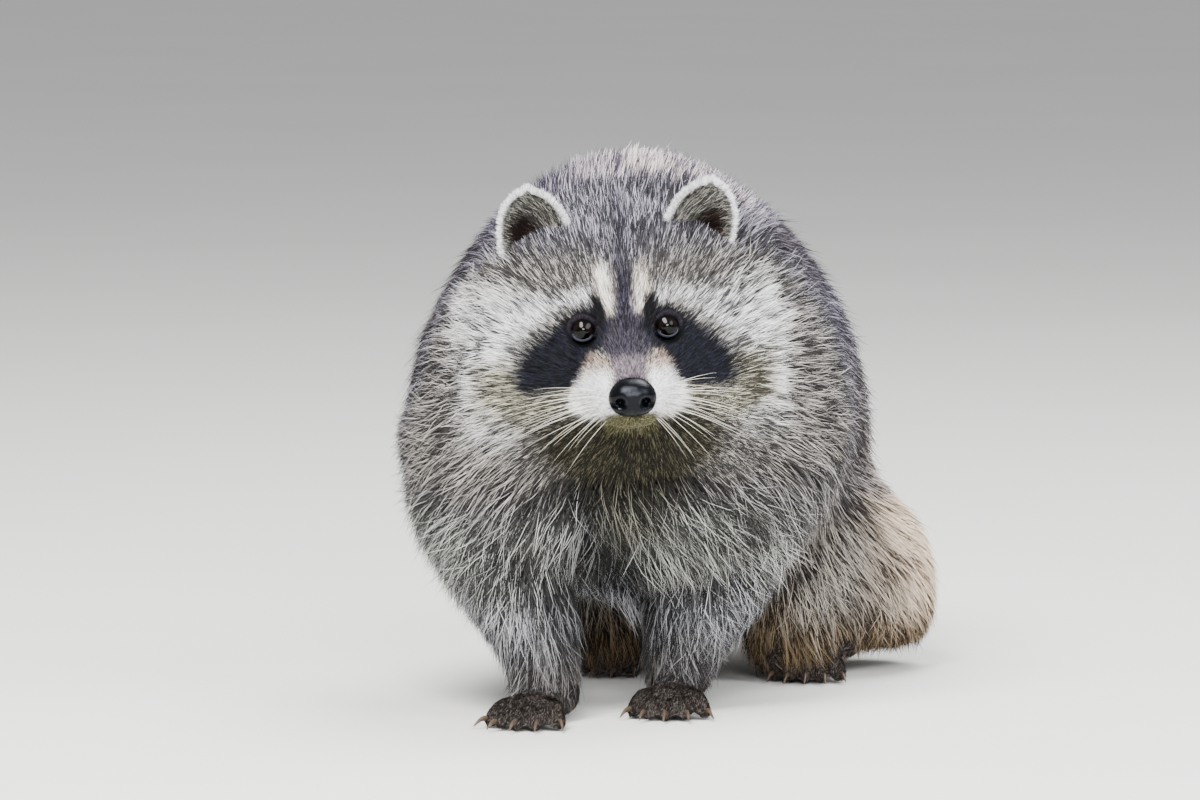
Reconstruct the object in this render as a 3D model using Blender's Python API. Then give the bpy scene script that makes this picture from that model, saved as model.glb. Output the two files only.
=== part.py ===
"""A still, life-size raccoon that stands hunched on four feet with its head turned to its left.

The solids run out to the tips of the coat. The animal faces -Y, its left side is +X and the floor
is z = 0. Every table below is in millimetres and every angle in degrees; MM turns them to metres.
The tables measure x and y from the ground under the withers; the finished pieces are then shifted
so that the origin is the middle of the whole footprint.
"""

import math

import bmesh
import bpy
import numpy as np
from mathutils import Matrix, Vector

MM = 0.001

# Meshing
SECTION_POINTS = 36      # points round a section of the body
SPAN_STEPS = 5           # sections from one station to the next
VOXEL = 2.6              # grid that joins the shapes into one body
BLEND_PASSES = 14        # smoothing passes over the joins
BODY_TRIANGLES = 2950    # faces kept for the body before it is parted
FIRM_BELOW = 14          # height up to which the blending hardly acts, so that toes stay apart
SOFT_FROM = 39           # height from which it acts in full
FIRM_SHARE = 0.08        # its share on the feet
GAP = 0.3                # clear space at every cut
CUT_EDGE = 55            # edges sharper than this stay crisp

# Trunk: y, centre height, half width, rise, drop
TRUNK = (
    (26, 142, 92, 92, 66),
    (58, 151, 111, 122, 84),
    (92, 150, 121, 144, 92),
    (125, 149, 118, 142, 94),
    (158, 148, 110, 138, 94),
    (205, 144, 98, 131, 92),
    (258, 134, 83, 124, 86),
    (305, 119, 72, 108, 78),
    (336, 108, 56, 82, 62),
)
TRUNK_POWERS = (1.85, 2.2)   # section shape above and below: under 2 narrows, over 2 squares
TRUNK_ENDS = (40, 29)        # how far the rounded ends reach
BEND = 24                    # how far the spine has swung to the left, BEND_SPAN behind BEND_START
BEND_START = 120
BEND_SPAN = 200

# Head pose: the point midway between the eyes, and how the head turns from facing -Y
EYES_MIDDLE = (23, -4, 209)
HEAD_YAW = 17
HEAD_PITCH = 7
HEAD_ROLL = -2.7

# Head, in its own frame (x to its left, y backwards, z up, from between the eyes):
# y, centre height, half width, rise, drop
HEAD = (
    (-54, -29, 12, 10, 12),
    (-47, -29, 17, 15, 15.5),
    (-36, -28.5, 21, 19.5, 18.5),
    (-20, -27, 25, 22, 21),
    (-6, -24, 30, 29, 25),
    (6, -20, 42, 39, 30),
    (18, -16, 57, 49, 38),
    (32, -13, 72, 58, 47),
    (48, -11, 82, 64, 55),
    (68, -12, 83, 62, 60),
    (90, -16, 76, 58, 62),
)
HEAD_ENDS = (6, 30)
# The pad round each eye in the same frame, for the left: middle and half sizes
EYE_PAD = ((26, 12, -1), (16, 14, 14))

# Neck: x, y, z, half width, rise, drop
NECK = (
    (18, 44, 190, 84, 62, 84),
    (8, 76, 184, 98, 80, 92),
    (2, 110, 178, 104, 100, 90),
)
NECK_ENDS = (30, 30)

# Front legs: x, y, z, half width, half depth; the right one stands a pace ahead
FRONT_LEG_RIGHT = (
    (-62, 58, 150, 54, 50),
    (-57, 46, 115, 50, 48),
    (-48, 34, 86, 40, 39),
    (-39, 27, 66, 32, 32),
    (-31, 21, 48, 25.5, 26),
    (-26, 16, 32, 21.5, 22),
    (-22, 13, 15, 18.5, 19),
)
FRONT_LEG_LEFT = (
    (60, 76, 150, 54, 50),
    (58, 76, 115, 50, 48),
    (52, 76, 86, 42, 40),
    (46, 76, 68, 35, 34),
    (40, 75, 50, 29, 28),
    (35, 74, 33, 23, 22),
    (32, 73, 15, 18, 19),
)

LEG_ENDS = (30, 7)

# Hind legs: x out from the spine, y, z, half width, half depth
THIGH = (
    (38, 262, 120, 42, 62),
    (46, 246, 92, 40, 54),
    (50, 232, 66, 37, 44),
    (50, 226, 44, 34, 38),
    (50, 226, 26, 29, 33),
    (51, 228, 14, 23, 27),
)
HAUNCH = (
    (30, 288, 116, 32, 42),
    (36, 290, 97, 34, 45),
    (50, 290, 78, 39, 50),
    (63, 289, 59, 43, 52),
    (68, 288, 40, 43, 50),
    (67, 287, 25, 40, 45),
    (67, 286, 16, 33, 35),
)
FLANK = (
    (40, 264, 112, 40, 40),
    (52, 261, 84, 37, 40),
    (57, 259, 56, 36, 38),
    (56, 258, 30, 33, 34),
    (55, 257, 16, 28, 28),
)

# Feet: x, y of the wrist or heel and the way the foot turns; the hind ones x out from the spine
FRONT_FOOT_RIGHT = (-21, 14, -4)
FRONT_FOOT_LEFT = (32, 74, 8)
HIND_FOOT = (46, 284, 8)
# Length and half width of the sole, and its half height
FRONT_SOLE = (34, 13.5, 10)
HIND_SOLE = (62, 14.5, 10.5)
# Toes from the inner to the outer: place across the foot, length, fan angle
FRONT_TOES = ((-13.5, 18, -28), (-7.5, 27, -11), (0, 29, 0), (7.5, 27, 11), (13.5, 20, 28))
HIND_TOES = ((-13.5, 21, -20), (-7.5, 28, -8), (0, 30, 0), (7.5, 28, 8), (13.5, 22, 20))
TOE_RADIUS = 5.2
TOE_ROOT_SPREAD = 0.72     # how wide the toes' roots stand, as a share of their places
TOE_ROOT = (7, 9)          # how far behind the sole's end a toe is rooted, and how high
KNUCKLE = (0.55, 1.2)      # share of the toe's length where it bends, and the rise there
CLAW_LENGTH = 11
CLAW_RADIUS = 1.9
CLAW_POINT = 0.5           # radius left at the point
CLAW_ROOT = (2.2, 1.6)     # how far past the toe's last joint a claw starts, and how much higher
CLAW_ARCH = 0.4            # rise at its middle
CLAW_FLATNESS = 0.8        # width over height
CLAW_SIDES = 5
CLAW_CLEARANCE = 1.7       # height of a claw's point over the floor
SOLE_BITE = 1.5            # how far the soles are planed flat

# Tail: x, y, z, half width, half depth; its last third lies on the floor
TAIL = (
    (27, 326, 112, 32, 32),
    (28, 356, 95, 33, 33),
    (24, 390, 72, 34, 34),
    (14, 426, 51, 35, 35),
    (-2, 462, 38, 35.5, 35.5),
    (-22, 496, 34, 35, 35),
    (-46, 528, 31.5, 31, 32),
    (-68, 552, 28, 22, 28),
)
TAIL_ENDS = (20, 18)

# Ears in the head's frame, for the left: base middle, tip and half widths up the shell
EAR_BASE = (40, 47, 27)
EAR_TIP = (52, 45, 69)
EAR_HALF_WIDTHS = (17, 19.5, 20.5, 21, 20, 17, 11.5)
EAR_CUP = 9                # depth of the hollow
EAR_WALL = 3.6             # skin and hair together
EAR_TURN = 20              # how far the hollow faces outwards
EAR_COLUMNS = 9
EAR_ROOT = 0.12            # share of the ear's length that is sunk in the head
EAR_OPENING = 0.75         # how much shallower the hollow gets towards the tip
EAR_THINNING = 0.35        # how much thinner the wall gets there
EAR_ROUNDING = 4.5         # how much lower the rim's corners lie than its middle

# Cuts, as the two corners of a box; the head's and neck's are in the head's own frame
HEAD_CUT = ((-200, -200, -76), (200, 74, 200))
NECK_CUT = ((-200, -200, -76), (200, 112, 200))
FRONT_CUT_RIGHT = ((-200, -100, -50), (-1, 70, 80))
FRONT_CUT_LEFT = ((-3, 26, -50), (200, 122, 80))
HIND_CUT = (26, 168, 350, 108)     # inner side, front, back and top of the hind leg's box
PAW_CUTS = {"front": (30, 26), "hind": (27, 24)}    # half width, and how far behind the wrist
PAW_REACH = 120                    # past the claws
BEYOND = 900                       # past everything
UNDER = -100                       # below everything
ANKLE_HEIGHT = 22
TAIL_CUTS = (("tail_tip", 506), ("tail_middle", 438), ("tail_base", 373))
TAIL_TOP = 160

EYE_PLACE = (21.6, -4.2, 0)
EYE_RADIUS = 7.9
NOSE_PLACE = (0, -58.5, -24.5)
NOSE_SIZE = (12.2, 8.5, 9.6)
NOSE_TAPER = 0.22          # how much narrower the pad gets downwards
NOSE_SQUARENESS = 0.85     # under 1 squares its shoulders
NOSTRIL = (0.52, -0.18)    # place across and up, as shares of the pad's half sizes
NOSTRIL_SPREAD = 0.03
NOSTRIL_DEPTH = 0.32


def clear_scene():
    for item in list(bpy.data.objects):
        bpy.data.objects.remove(item)


def finish(name, colour, roughness):
    """A Principled material."""
    material = bpy.data.materials.new(name)
    material.use_nodes = True
    shader = material.node_tree.nodes["Principled BSDF"]
    shader.inputs["Base Color"].default_value = (*colour, 1)
    shader.inputs["Roughness"].default_value = roughness
    shader.inputs["Metallic"].default_value = 0
    material.diffuse_color = (*colour, 1)
    return material


def add_object(name, bm):
    """The bmesh, in triangles, as a smooth-shaded object in the scene."""
    mesh = bpy.data.meshes.new(name)
    bmesh.ops.triangulate(bm, faces=bm.faces)
    bmesh.ops.recalc_face_normals(bm, faces=bm.faces)
    if bm.calc_volume(signed=True) < 0:
        bmesh.ops.reverse_faces(bm, faces=bm.faces)
    bm.to_mesh(mesh)
    bm.free()
    mesh.shade_smooth()
    item = bpy.data.objects.new(name, mesh)
    bpy.context.scene.collection.objects.link(item)
    return item


def settle(item):
    """Makes the object's modifiers real."""
    graph = bpy.context.evaluated_depsgraph_get()
    mesh = bpy.data.meshes.new_from_object(item.evaluated_get(graph))
    item.modifiers.clear()
    item.data = mesh
    return item


def between(stations):
    """The stations with smooth sections added between them (a Catmull-Rom curve through every value)."""
    rows = np.array(stations, float)
    padded = np.vstack([2 * rows[0] - rows[1], rows, 2 * rows[-1] - rows[-2]])
    dense = []
    for before, start, end, after in zip(padded, padded[1:], padded[2:], padded[3:]):
        for step in range(SPAN_STEPS):
            t = step / SPAN_STEPS
            dense.append(
                0.5 * (2 * start + (end - before) * t
                       + (2 * before - 5 * start + 4 * end - after) * t ** 2
                       + (3 * start - 3 * end + after - before) * t ** 3)
            )
    dense.append(rows[-1])
    return np.array(dense)


def section(half_width, rise, drop, top_power, bottom_power):
    """A closed outline of superellipse halves: (across, up) for each point."""
    points = []
    for angle in np.linspace(0, 2 * math.pi, SECTION_POINTS, endpoint=False):
        c, s = math.cos(angle), math.sin(angle)
        power, height = (top_power, rise) if s >= 0 else (bottom_power, drop)
        across = math.copysign(abs(c) ** (2 / power), c) * half_width
        up = math.copysign(abs(s) ** (2 / power), s) * height
        points.append((across, up))
    return points


def loft(bm, stations, ends=None, powers=(2, 2), pose=Matrix.Identity(4)):
    """Adds a closed form with round ends through stations of x, y, z, half width, rise, drop."""
    rows = between(stations)
    centres = rows[:, :3]
    tangents = np.gradient(centres, axis=0)
    rings = []

    def ring(row, tangent, shift, shrink):
        forward = Vector(tangent).normalized()
        across = Vector((1, 0, 0))
        across = (across - across.dot(forward) * forward).normalized()
        up = across.cross(forward)
        centre = Vector(row[:3]) + forward * shift
        outline = section(*(row[3:6] * shrink), *powers)
        spots = [pose @ ((centre + across * a + up * b) * MM) for a, b in outline]
        rings.append([bm.verts.new(spot) for spot in spots])

    end_steps = [math.radians(a) for a in (25, 50, 72)]
    first, last = rows[0], rows[-1]
    first_reach, last_reach = ends or (min(first[3:6]), min(last[3:6]))
    for angle in reversed(end_steps):
        ring(first, tangents[0], -first_reach * math.sin(angle), math.cos(angle))
    for row, tangent in zip(rows, tangents):
        ring(row, tangent, 0, 1)
    for angle in end_steps:
        ring(last, tangents[-1], last_reach * math.sin(angle), math.cos(angle))
    for lower, upper in zip(rings, rings[1:]):
        for i in range(SECTION_POINTS):
            j = (i + 1) % SECTION_POINTS
            bm.faces.new((lower[i], lower[j], upper[j], upper[i]))
    bm.faces.new(rings[0])
    bm.faces.new(reversed(rings[-1]))


def spine_x(y):
    """How far to the left the spine lies."""
    return BEND * max(0.0, (y - BEND_START) / BEND_SPAN) ** 2


def leg_stations(table):
    """Rows of x, y, z, half width, half depth as loft stations."""
    return [(x, y, z, width, depth, depth) for x, y, z, width, depth in table]


def from_spine(table, side):
    """The same rows with x measured out from the spine to one side."""
    return [(spine_x(y) + side * x, y, z, *rest) for x, y, z, *rest in table]


def head_pose():
    turn = (Matrix.Rotation(math.radians(HEAD_YAW), 4, "Z")
            @ Matrix.Rotation(math.radians(HEAD_PITCH), 4, "X")
            @ Matrix.Rotation(math.radians(HEAD_ROLL), 4, "Y"))
    return Matrix.Translation(Vector(EYES_MIDDLE) * MM) @ turn


def foot_pose(x, y, turn):
    """A foot's frame: its origin on the floor under the wrist or heel, its toes towards -Y."""
    spot = Vector((x, y, 0)) * MM
    return Matrix.Translation(spot) @ Matrix.Rotation(math.radians(turn), 4, "Z")


def toe_rows(sole, toes):
    """For each toe its root, knuckle and tip in the foot's frame, and the angle it points to."""
    length, _, _ = sole
    rows = []
    for across, reach, fan in toes:
        heading = Vector((math.sin(math.radians(fan)), -math.cos(math.radians(fan)), 0))
        behind, height = TOE_ROOT
        share, rise = KNUCKLE
        root = Vector((across * TOE_ROOT_SPREAD, behind - length, height))
        knuckle = root + heading * reach * share + Vector((0, 0, rise))
        tip = root + heading * reach
        tip.z = TOE_RADIUS - SOLE_BITE
        rows.append((root, knuckle, tip, heading))
    return rows


def add_foot(bm, pose, sole, toes):
    """Sole and five toes, standing a little through the floor so that planing leaves flats."""
    length, half_width, half_height = sole
    height = half_height - SOLE_BITE
    loft(bm, [(0, 8, height + 5, half_width, half_height + 4, half_height),
              (0, -length * 0.45, height + 1.5, half_width * 0.95, half_height + 1, half_height),
              (0, -length, height - 0.5, half_width * 1.05, half_height * 0.72, half_height * 0.9)],
         pose=pose)
    for root, knuckle, tip, _ in toe_rows(sole, toes):
        joints = ((root, TOE_RADIUS * 1.05), (knuckle, TOE_RADIUS * 1.02), (tip, TOE_RADIUS))
        loft(bm, [(*point, r, r, r) for point, r in joints], pose=pose)


def feet():
    """Each foot's name, pose, sole and toes."""
    rows = {
        "front_right": (FRONT_FOOT_RIGHT, FRONT_SOLE, FRONT_TOES),
        "front_left": (FRONT_FOOT_LEFT, FRONT_SOLE, FRONT_TOES),
    }
    x, y, turn = HIND_FOOT
    for name, side in (("hind_right", -1), ("hind_left", 1)):
        rows[name] = ((spine_x(y) + side * x, y, side * turn), HIND_SOLE, HIND_TOES)
    return {name: (foot_pose(*place), sole, toes) for name, (place, sole, toes) in rows.items()}


def make_body():
    """Every fleshy form joined into one closed body, planed flat under the feet and tail."""
    bm = bmesh.new()
    loft(bm, [(spine_x(y), y, *rest) for y, *rest in TRUNK], TRUNK_ENDS, TRUNK_POWERS)
    loft(bm, [(0, *row) for row in HEAD], HEAD_ENDS, pose=head_pose())
    for side in (-1, 1):
        (x, y, z), sizes = EYE_PAD
        place = Matrix.Translation(Vector((side * x, y, z)) * MM)
        size = Matrix.Diagonal((*(Vector(sizes) * MM), 1))
        bmesh.ops.create_icosphere(bm, subdivisions=3, radius=1, matrix=head_pose() @ place @ size)
    loft(bm, NECK, NECK_ENDS)
    loft(bm, leg_stations(FRONT_LEG_RIGHT), LEG_ENDS)
    loft(bm, leg_stations(FRONT_LEG_LEFT), LEG_ENDS)
    for side in (-1, 1):
        for limb in (THIGH, FLANK, HAUNCH):
            loft(bm, leg_stations(from_spine(limb, side)), LEG_ENDS)
    loft(bm, leg_stations(TAIL), TAIL_ENDS)
    for pose, sole, toes in feet().values():
        add_foot(bm, pose, sole, toes)
    body = add_object("body", bm)

    remesh = body.modifiers.new("join", "REMESH")
    remesh.mode = "VOXEL"
    remesh.voxel_size = VOXEL * MM
    settle(body)

    softness = body.vertex_groups.new(name="softness")
    for vertex in body.data.vertices:
        softness.add([vertex.index], soft_weight(vertex.co), "REPLACE")
    blend = body.modifiers.new("blend", "SMOOTH")
    blend.factor = 0.5
    blend.iterations = BLEND_PASSES
    blend.vertex_group = softness.name
    settle(body)

    reduce = body.modifiers.new("reduce", "DECIMATE")
    reduce.ratio = BODY_TRIANGLES / (2 * len(body.data.polygons))
    settle(body)
    return body


def soft_weight(point):
    """How much a point takes part in the blending: the feet keep their toes, and the rest flows."""
    share = (point.z / MM - FIRM_BELOW) / (SOFT_FROM - FIRM_BELOW)
    return min(1.0, max(FIRM_SHARE, share))


def make_box(name, pose, low, high):
    """A cutter box between two corners of a frame, in millimetres."""
    bm = bmesh.new()
    bmesh.ops.create_cube(bm, size=1)
    low, high = Vector(low), Vector(high)
    for vertex in bm.verts:
        share = [vertex.co[i] + 0.5 for i in range(3)]
        spot = Vector(low[i] + share[i] * (high[i] - low[i]) for i in range(3))
        vertex.co = pose @ (spot * MM)
    box = add_object(name, bm)
    box.hide_render = True
    box.display_type = "WIRE"
    return box


def cut(item, cutter, operation):
    """A Boolean made real on the object."""
    boolean = item.modifiers.new("cut", "BOOLEAN")
    boolean.operation = operation
    boolean.object = cutter
    boolean.solver = "EXACT"
    return settle(item)


def duplicate(item, name):
    copy = item.copy()
    copy.data = item.data.copy()
    copy.name = copy.data.name = name
    bpy.context.scene.collection.objects.link(copy)
    return copy


def part_off(source, name, low, high, pose=Matrix.Identity(4)):
    """Takes what the source has inside the box as a piece of its own, with a gap round it."""
    piece = duplicate(source, name)
    margin = Vector((GAP, GAP, GAP))
    inner = make_box("inner", pose, low, high)
    outer = make_box("outer", pose, Vector(low) - margin, Vector(high) + margin)
    cut(piece, inner, "INTERSECT")
    cut(source, outer, "DIFFERENCE")
    bpy.data.objects.remove(inner)
    bpy.data.objects.remove(outer)
    return piece


def let_in(host, guest):
    """Cuts a pocket for the guest in the host, with a gap all round."""
    cutter = duplicate(guest, "cutter")
    swell = cutter.modifiers.new("swell", "DISPLACE")
    swell.strength = GAP * MM
    swell.mid_level = 0
    settle(cutter)
    cutter.hide_render = True
    cutter.display_type = "WIRE"
    cut(host, cutter, "DIFFERENCE")
    bpy.data.objects.remove(cutter)


def largest_body(item):
    """Keeps the largest connected body of the object and drops stray chips."""
    bm = bmesh.new()
    bm.from_mesh(item.data)
    remaining = set(bm.faces)
    bodies = []
    while remaining:
        stack = [remaining.pop()]
        found = list(stack)
        while stack:
            for edge in stack.pop().edges:
                for face in edge.link_faces:
                    if face in remaining:
                        remaining.remove(face)
                        stack.append(face)
                        found.append(face)
        bodies.append(found)
    bodies.sort(key=len)
    stray = [face for found in bodies[:-1] for face in found]
    bmesh.ops.delete(bm, geom=stray, context="FACES")
    bmesh.ops.triangulate(bm, faces=bm.faces)
    bm.to_mesh(item.data)
    bm.free()
    item.data.shade_smooth()
    item.data.set_sharp_from_angle(angle=math.radians(CUT_EDGE))


def make_eye(side):
    """An eyeball, facing forwards and a little out."""
    bm = bmesh.new()
    bmesh.ops.create_uvsphere(bm, u_segments=16, v_segments=10, radius=EYE_RADIUS * MM)
    centre = Vector((side * EYE_PLACE[0], EYE_PLACE[1], EYE_PLACE[2])) * MM
    bm.transform(head_pose() @ Matrix.Translation(centre) @ Matrix.Rotation(math.pi / 2, 4, "X"))
    return add_object("eye_left" if side > 0 else "eye_right", bm)


def make_nose():
    """The bare nose pad: wide and square-shouldered, with a pressed-in mark for each nostril."""
    bm = bmesh.new()
    bmesh.ops.create_icosphere(bm, subdivisions=2, radius=1)
    width, depth, height = NOSE_SIZE
    for vertex in bm.verts:
        x, y, z = vertex.co
        taper = 1 - NOSE_TAPER * max(0.0, -z)
        away = (abs(x) - NOSTRIL[0]) ** 2 + (z - NOSTRIL[1]) ** 2
        nostril = math.exp(-away / NOSTRIL_SPREAD) if y < 0 else 0
        across = math.copysign(abs(x) ** NOSE_SQUARENESS, x) * width * taper
        vertex.co = Vector((across, (y + NOSTRIL_DEPTH * nostril) * depth, z * height)) * MM
    bm.transform(head_pose() @ Matrix.Translation(Vector(NOSE_PLACE) * MM))
    return add_object("nose", bm)


def make_ear(side):
    """A round-topped shell, hollow in front, whose base runs into the head."""
    bm = bmesh.new()
    base, tip = Vector(EAR_BASE), Vector(EAR_TIP)
    axis = (tip - base).normalized()
    turn = math.radians(EAR_TURN)
    facing = Vector((math.sin(turn), -math.cos(turn), 0))
    facing = (facing - facing.dot(axis) * axis).normalized()
    across = axis.cross(facing)
    rows = len(EAR_HALF_WIDTHS)
    layers = []
    for inside in (False, True):
        grid = []
        for row, half_width in enumerate(EAR_HALF_WIDTHS):
            share = row / (rows - 1)
            rise = (tip - base).length * (share * (1 + EAR_ROOT) - EAR_ROOT)
            line = []
            for column in range(EAR_COLUMNS):
                u = 2 * column / (EAR_COLUMNS - 1) - 1
                bowl = EAR_CUP * (1 - u * u) * (1 - EAR_OPENING * share * share)
                rim = math.sqrt(max(0.05, 1 - u ** 6))
                wall = EAR_WALL * rim * (1 - EAR_THINNING * share)
                back = bowl + (0 if inside else wall)
                round_top = -EAR_ROUNDING * u * u * share
                spot = base + axis * (rise + round_top) + across * (half_width * u) - facing * back
                spot.x *= side
                line.append(bm.verts.new(head_pose() @ (spot * MM)))
            grid.append(line)
        layers.append(grid)
    outer, inner = layers
    for r in range(rows - 1):
        for c in range(EAR_COLUMNS - 1):
            bm.faces.new((outer[r][c], outer[r][c + 1], outer[r + 1][c + 1], outer[r + 1][c]))
            bm.faces.new((inner[r][c], inner[r + 1][c], inner[r + 1][c + 1], inner[r][c + 1]))
        for c in (0, EAR_COLUMNS - 1):
            bm.faces.new((outer[r][c], outer[r + 1][c], inner[r + 1][c], inner[r][c]))
    for c in range(EAR_COLUMNS - 1):
        bm.faces.new((outer[0][c], inner[0][c], inner[0][c + 1], outer[0][c + 1]))
        bm.faces.new((outer[-1][c], outer[-1][c + 1], inner[-1][c + 1], inner[-1][c]))
    return add_object("ear_left" if side > 0 else "ear_right", bm)


def make_claws(name, pose, sole, toes):
    """Five curved claws, each let into the end of its toe."""
    claws = []
    for number, (_, _, tip, heading) in enumerate(toe_rows(sole, toes), start=1):
        forward, higher = CLAW_ROOT
        root = tip + heading * forward + Vector((0, 0, higher))
        middle = root + heading * CLAW_LENGTH / 2 + Vector((0, 0, CLAW_ARCH))
        point = root + heading * CLAW_LENGTH
        point.z = CLAW_CLEARANCE
        bm = bmesh.new()
        sizes = (CLAW_RADIUS, CLAW_RADIUS * CLAW_FLATNESS, CLAW_POINT)
        spots = zip((root, middle, point), sizes)
        rows = between([(*spot, r * CLAW_FLATNESS, r, r) for spot, r in spots])
        rings = []
        for row in (rows[0], rows[SPAN_STEPS], rows[-1]):
            centre, half_width, half_height = Vector(row[:3]), row[3], row[4]
            side = Vector((-heading.y, heading.x, 0))
            ring = []
            for corner in range(CLAW_SIDES):
                angle = corner * 2 * math.pi / CLAW_SIDES
                offset = side * math.cos(angle) * half_width
                offset.z += math.sin(angle) * half_height
                ring.append(bm.verts.new(pose @ ((centre + offset) * MM)))
            rings.append(ring)
        for lower, upper in zip(rings, rings[1:]):
            for i in range(CLAW_SIDES):
                j = (i + 1) % CLAW_SIDES
                bm.faces.new((lower[i], lower[j], upper[j], upper[i]))
        bm.faces.new(rings[0])
        bm.faces.new(reversed(rings[-1]))
        claws.append(add_object(f"claw_{name}_{number}", bm))
    return claws


def divide(body):
    """Parts the body into its pieces, from the ends inwards, and returns them by name."""
    pieces = {}

    def take(name, low, high, pose=Matrix.Identity(4)):
        pieces[name] = part_off(body, name, low, high, pose)

    take("floor", (-BEYOND, -BEYOND, UNDER), (BEYOND, BEYOND, -GAP))
    bpy.data.objects.remove(pieces.pop("floor"))
    for name, (pose, _, _) in feet().items():
        end, side = name.split("_")
        half, heel = PAW_CUTS[end]
        take(f"{end}_paw_{side}", (-half, -PAW_REACH, UNDER), (half, heel, ANKLE_HEIGHT), pose)
    take("front_leg_right", *FRONT_CUT_RIGHT)
    take("front_leg_left", *FRONT_CUT_LEFT)
    inner, front, back, top = HIND_CUT
    middle = spine_x((front + back) / 2)
    take("hind_leg_left", (middle + inner, front, UNDER), (BEYOND, back, top))
    take("hind_leg_right", (-BEYOND, front, UNDER), (middle - inner, back, top))
    for name, start in TAIL_CUTS:
        take(name, (-BEYOND, start, UNDER), (BEYOND, BEYOND, TAIL_TOP))
    take("head", *HEAD_CUT, head_pose())
    take("neck", *NECK_CUT, head_pose())
    body.name = body.data.name = "trunk"
    pieces["trunk"] = body
    for piece in pieces.values():
        largest_body(piece)
    return pieces


clear_scene()
parts = divide(make_body())

for maker in (make_eye, make_ear):
    for direction in (1, -1):
        feature = maker(direction)
        let_in(parts["head"], feature)
        parts[feature.name] = feature
parts["nose"] = make_nose()
let_in(parts["head"], parts["nose"])
largest_body(parts["head"])

for foot, (frame, sole_size, toe_table) in feet().items():
    paw = parts[foot.replace("_", "_paw_")]
    for claw in make_claws(foot, frame, sole_size, toe_table):
        let_in(paw, claw)
        parts[claw.name] = claw
    largest_body(paw)

corners = [corner for part in parts.values() for corner in part.bound_box]
shift = Vector(-(min(c[i] for c in corners) + max(c[i] for c in corners)) / 2 for i in range(2))
for part in parts.values():
    part.data.transform(Matrix.Translation(shift.to_3d()))

FUR = finish("fur", (0.20, 0.18, 0.16), 0.9)
RINGED_FUR = finish("ringed_fur", (0.16, 0.14, 0.12), 0.9)
PAW_HAIR = finish("paw_hair", (0.12, 0.10, 0.09), 0.85)
EAR_HAIR = finish("ear_hair", (0.45, 0.42, 0.38), 0.9)
EYEBALL = finish("eyeball", (0.02, 0.012, 0.008), 0.08)
NOSE_SKIN = finish("nose_skin", (0.02, 0.02, 0.022), 0.35)
CLAW_HORN = finish("claw_horn", (0.09, 0.07, 0.055), 0.4)

MATERIALS = (
    ("eye_", EYEBALL),
    ("ear_", EAR_HAIR),
    ("nose", NOSE_SKIN),
    ("claw_", CLAW_HORN),
    ("tail_", RINGED_FUR),
    ("front_paw", PAW_HAIR),
    ("hind_paw", PAW_HAIR),
    ("", FUR),
)
for part_name, part in parts.items():
    material = next(entry for start, entry in MATERIALS if part_name.startswith(start))
    part.data.materials.clear()
    part.data.materials.append(material)
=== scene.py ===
"""A still, life-size raccoon: skin, coat, eyes, nose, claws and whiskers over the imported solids.

Everything is in metres in the row's frame: the animal faces -Y, its left side is +X and the floor
is z = 0. Tables are in millimetres. The solids run out to the tips of the coat, so the skin lies
inside them by the coat's depth and the hairs' tips come back out to them.
"""

import math

import bmesh
import bpy
import numpy as np
from mathutils import Matrix, Vector, noise
from mathutils.bvhtree import BVHTree
from mathutils.kdtree import KDTree


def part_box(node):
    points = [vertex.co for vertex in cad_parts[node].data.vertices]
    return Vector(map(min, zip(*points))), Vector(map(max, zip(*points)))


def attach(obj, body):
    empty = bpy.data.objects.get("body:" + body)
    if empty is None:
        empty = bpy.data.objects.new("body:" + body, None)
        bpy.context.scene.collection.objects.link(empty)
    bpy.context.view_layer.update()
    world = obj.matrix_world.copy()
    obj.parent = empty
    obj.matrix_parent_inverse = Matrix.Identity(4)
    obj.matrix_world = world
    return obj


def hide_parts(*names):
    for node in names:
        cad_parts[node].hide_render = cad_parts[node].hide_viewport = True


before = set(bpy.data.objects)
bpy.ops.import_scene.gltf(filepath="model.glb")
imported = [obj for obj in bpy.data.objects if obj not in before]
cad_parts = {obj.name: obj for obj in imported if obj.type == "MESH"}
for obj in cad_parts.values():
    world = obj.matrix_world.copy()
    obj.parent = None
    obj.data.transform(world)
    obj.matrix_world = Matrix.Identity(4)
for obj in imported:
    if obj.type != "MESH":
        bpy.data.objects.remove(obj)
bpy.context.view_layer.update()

MM = 0.001
SEED = 20
FAR_OFF = 99              # stands for nowhere near an eye
PLAIN_INPUTS = {"ior": "IOR", "specular": "Specular IOR Level", "tint": "Specular Tint"}

# Skin
SAME_SPOT = 0.001 * MM    # vertices this near to each other are one
SKIN_VOXEL = 2.4          # grid of the one skin over all flesh nodes
SKIN_SWELL = 0.5          # closes the thin cuts between the nodes
FINER_AHEAD = (38, -8)    # the grid is halved ahead of each of these, in the head's frame
FACE_REACH = 85           # and within this radius round the head's axis
BLEND_PASSES = 14         # how softly one region's coat runs into the next

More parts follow.
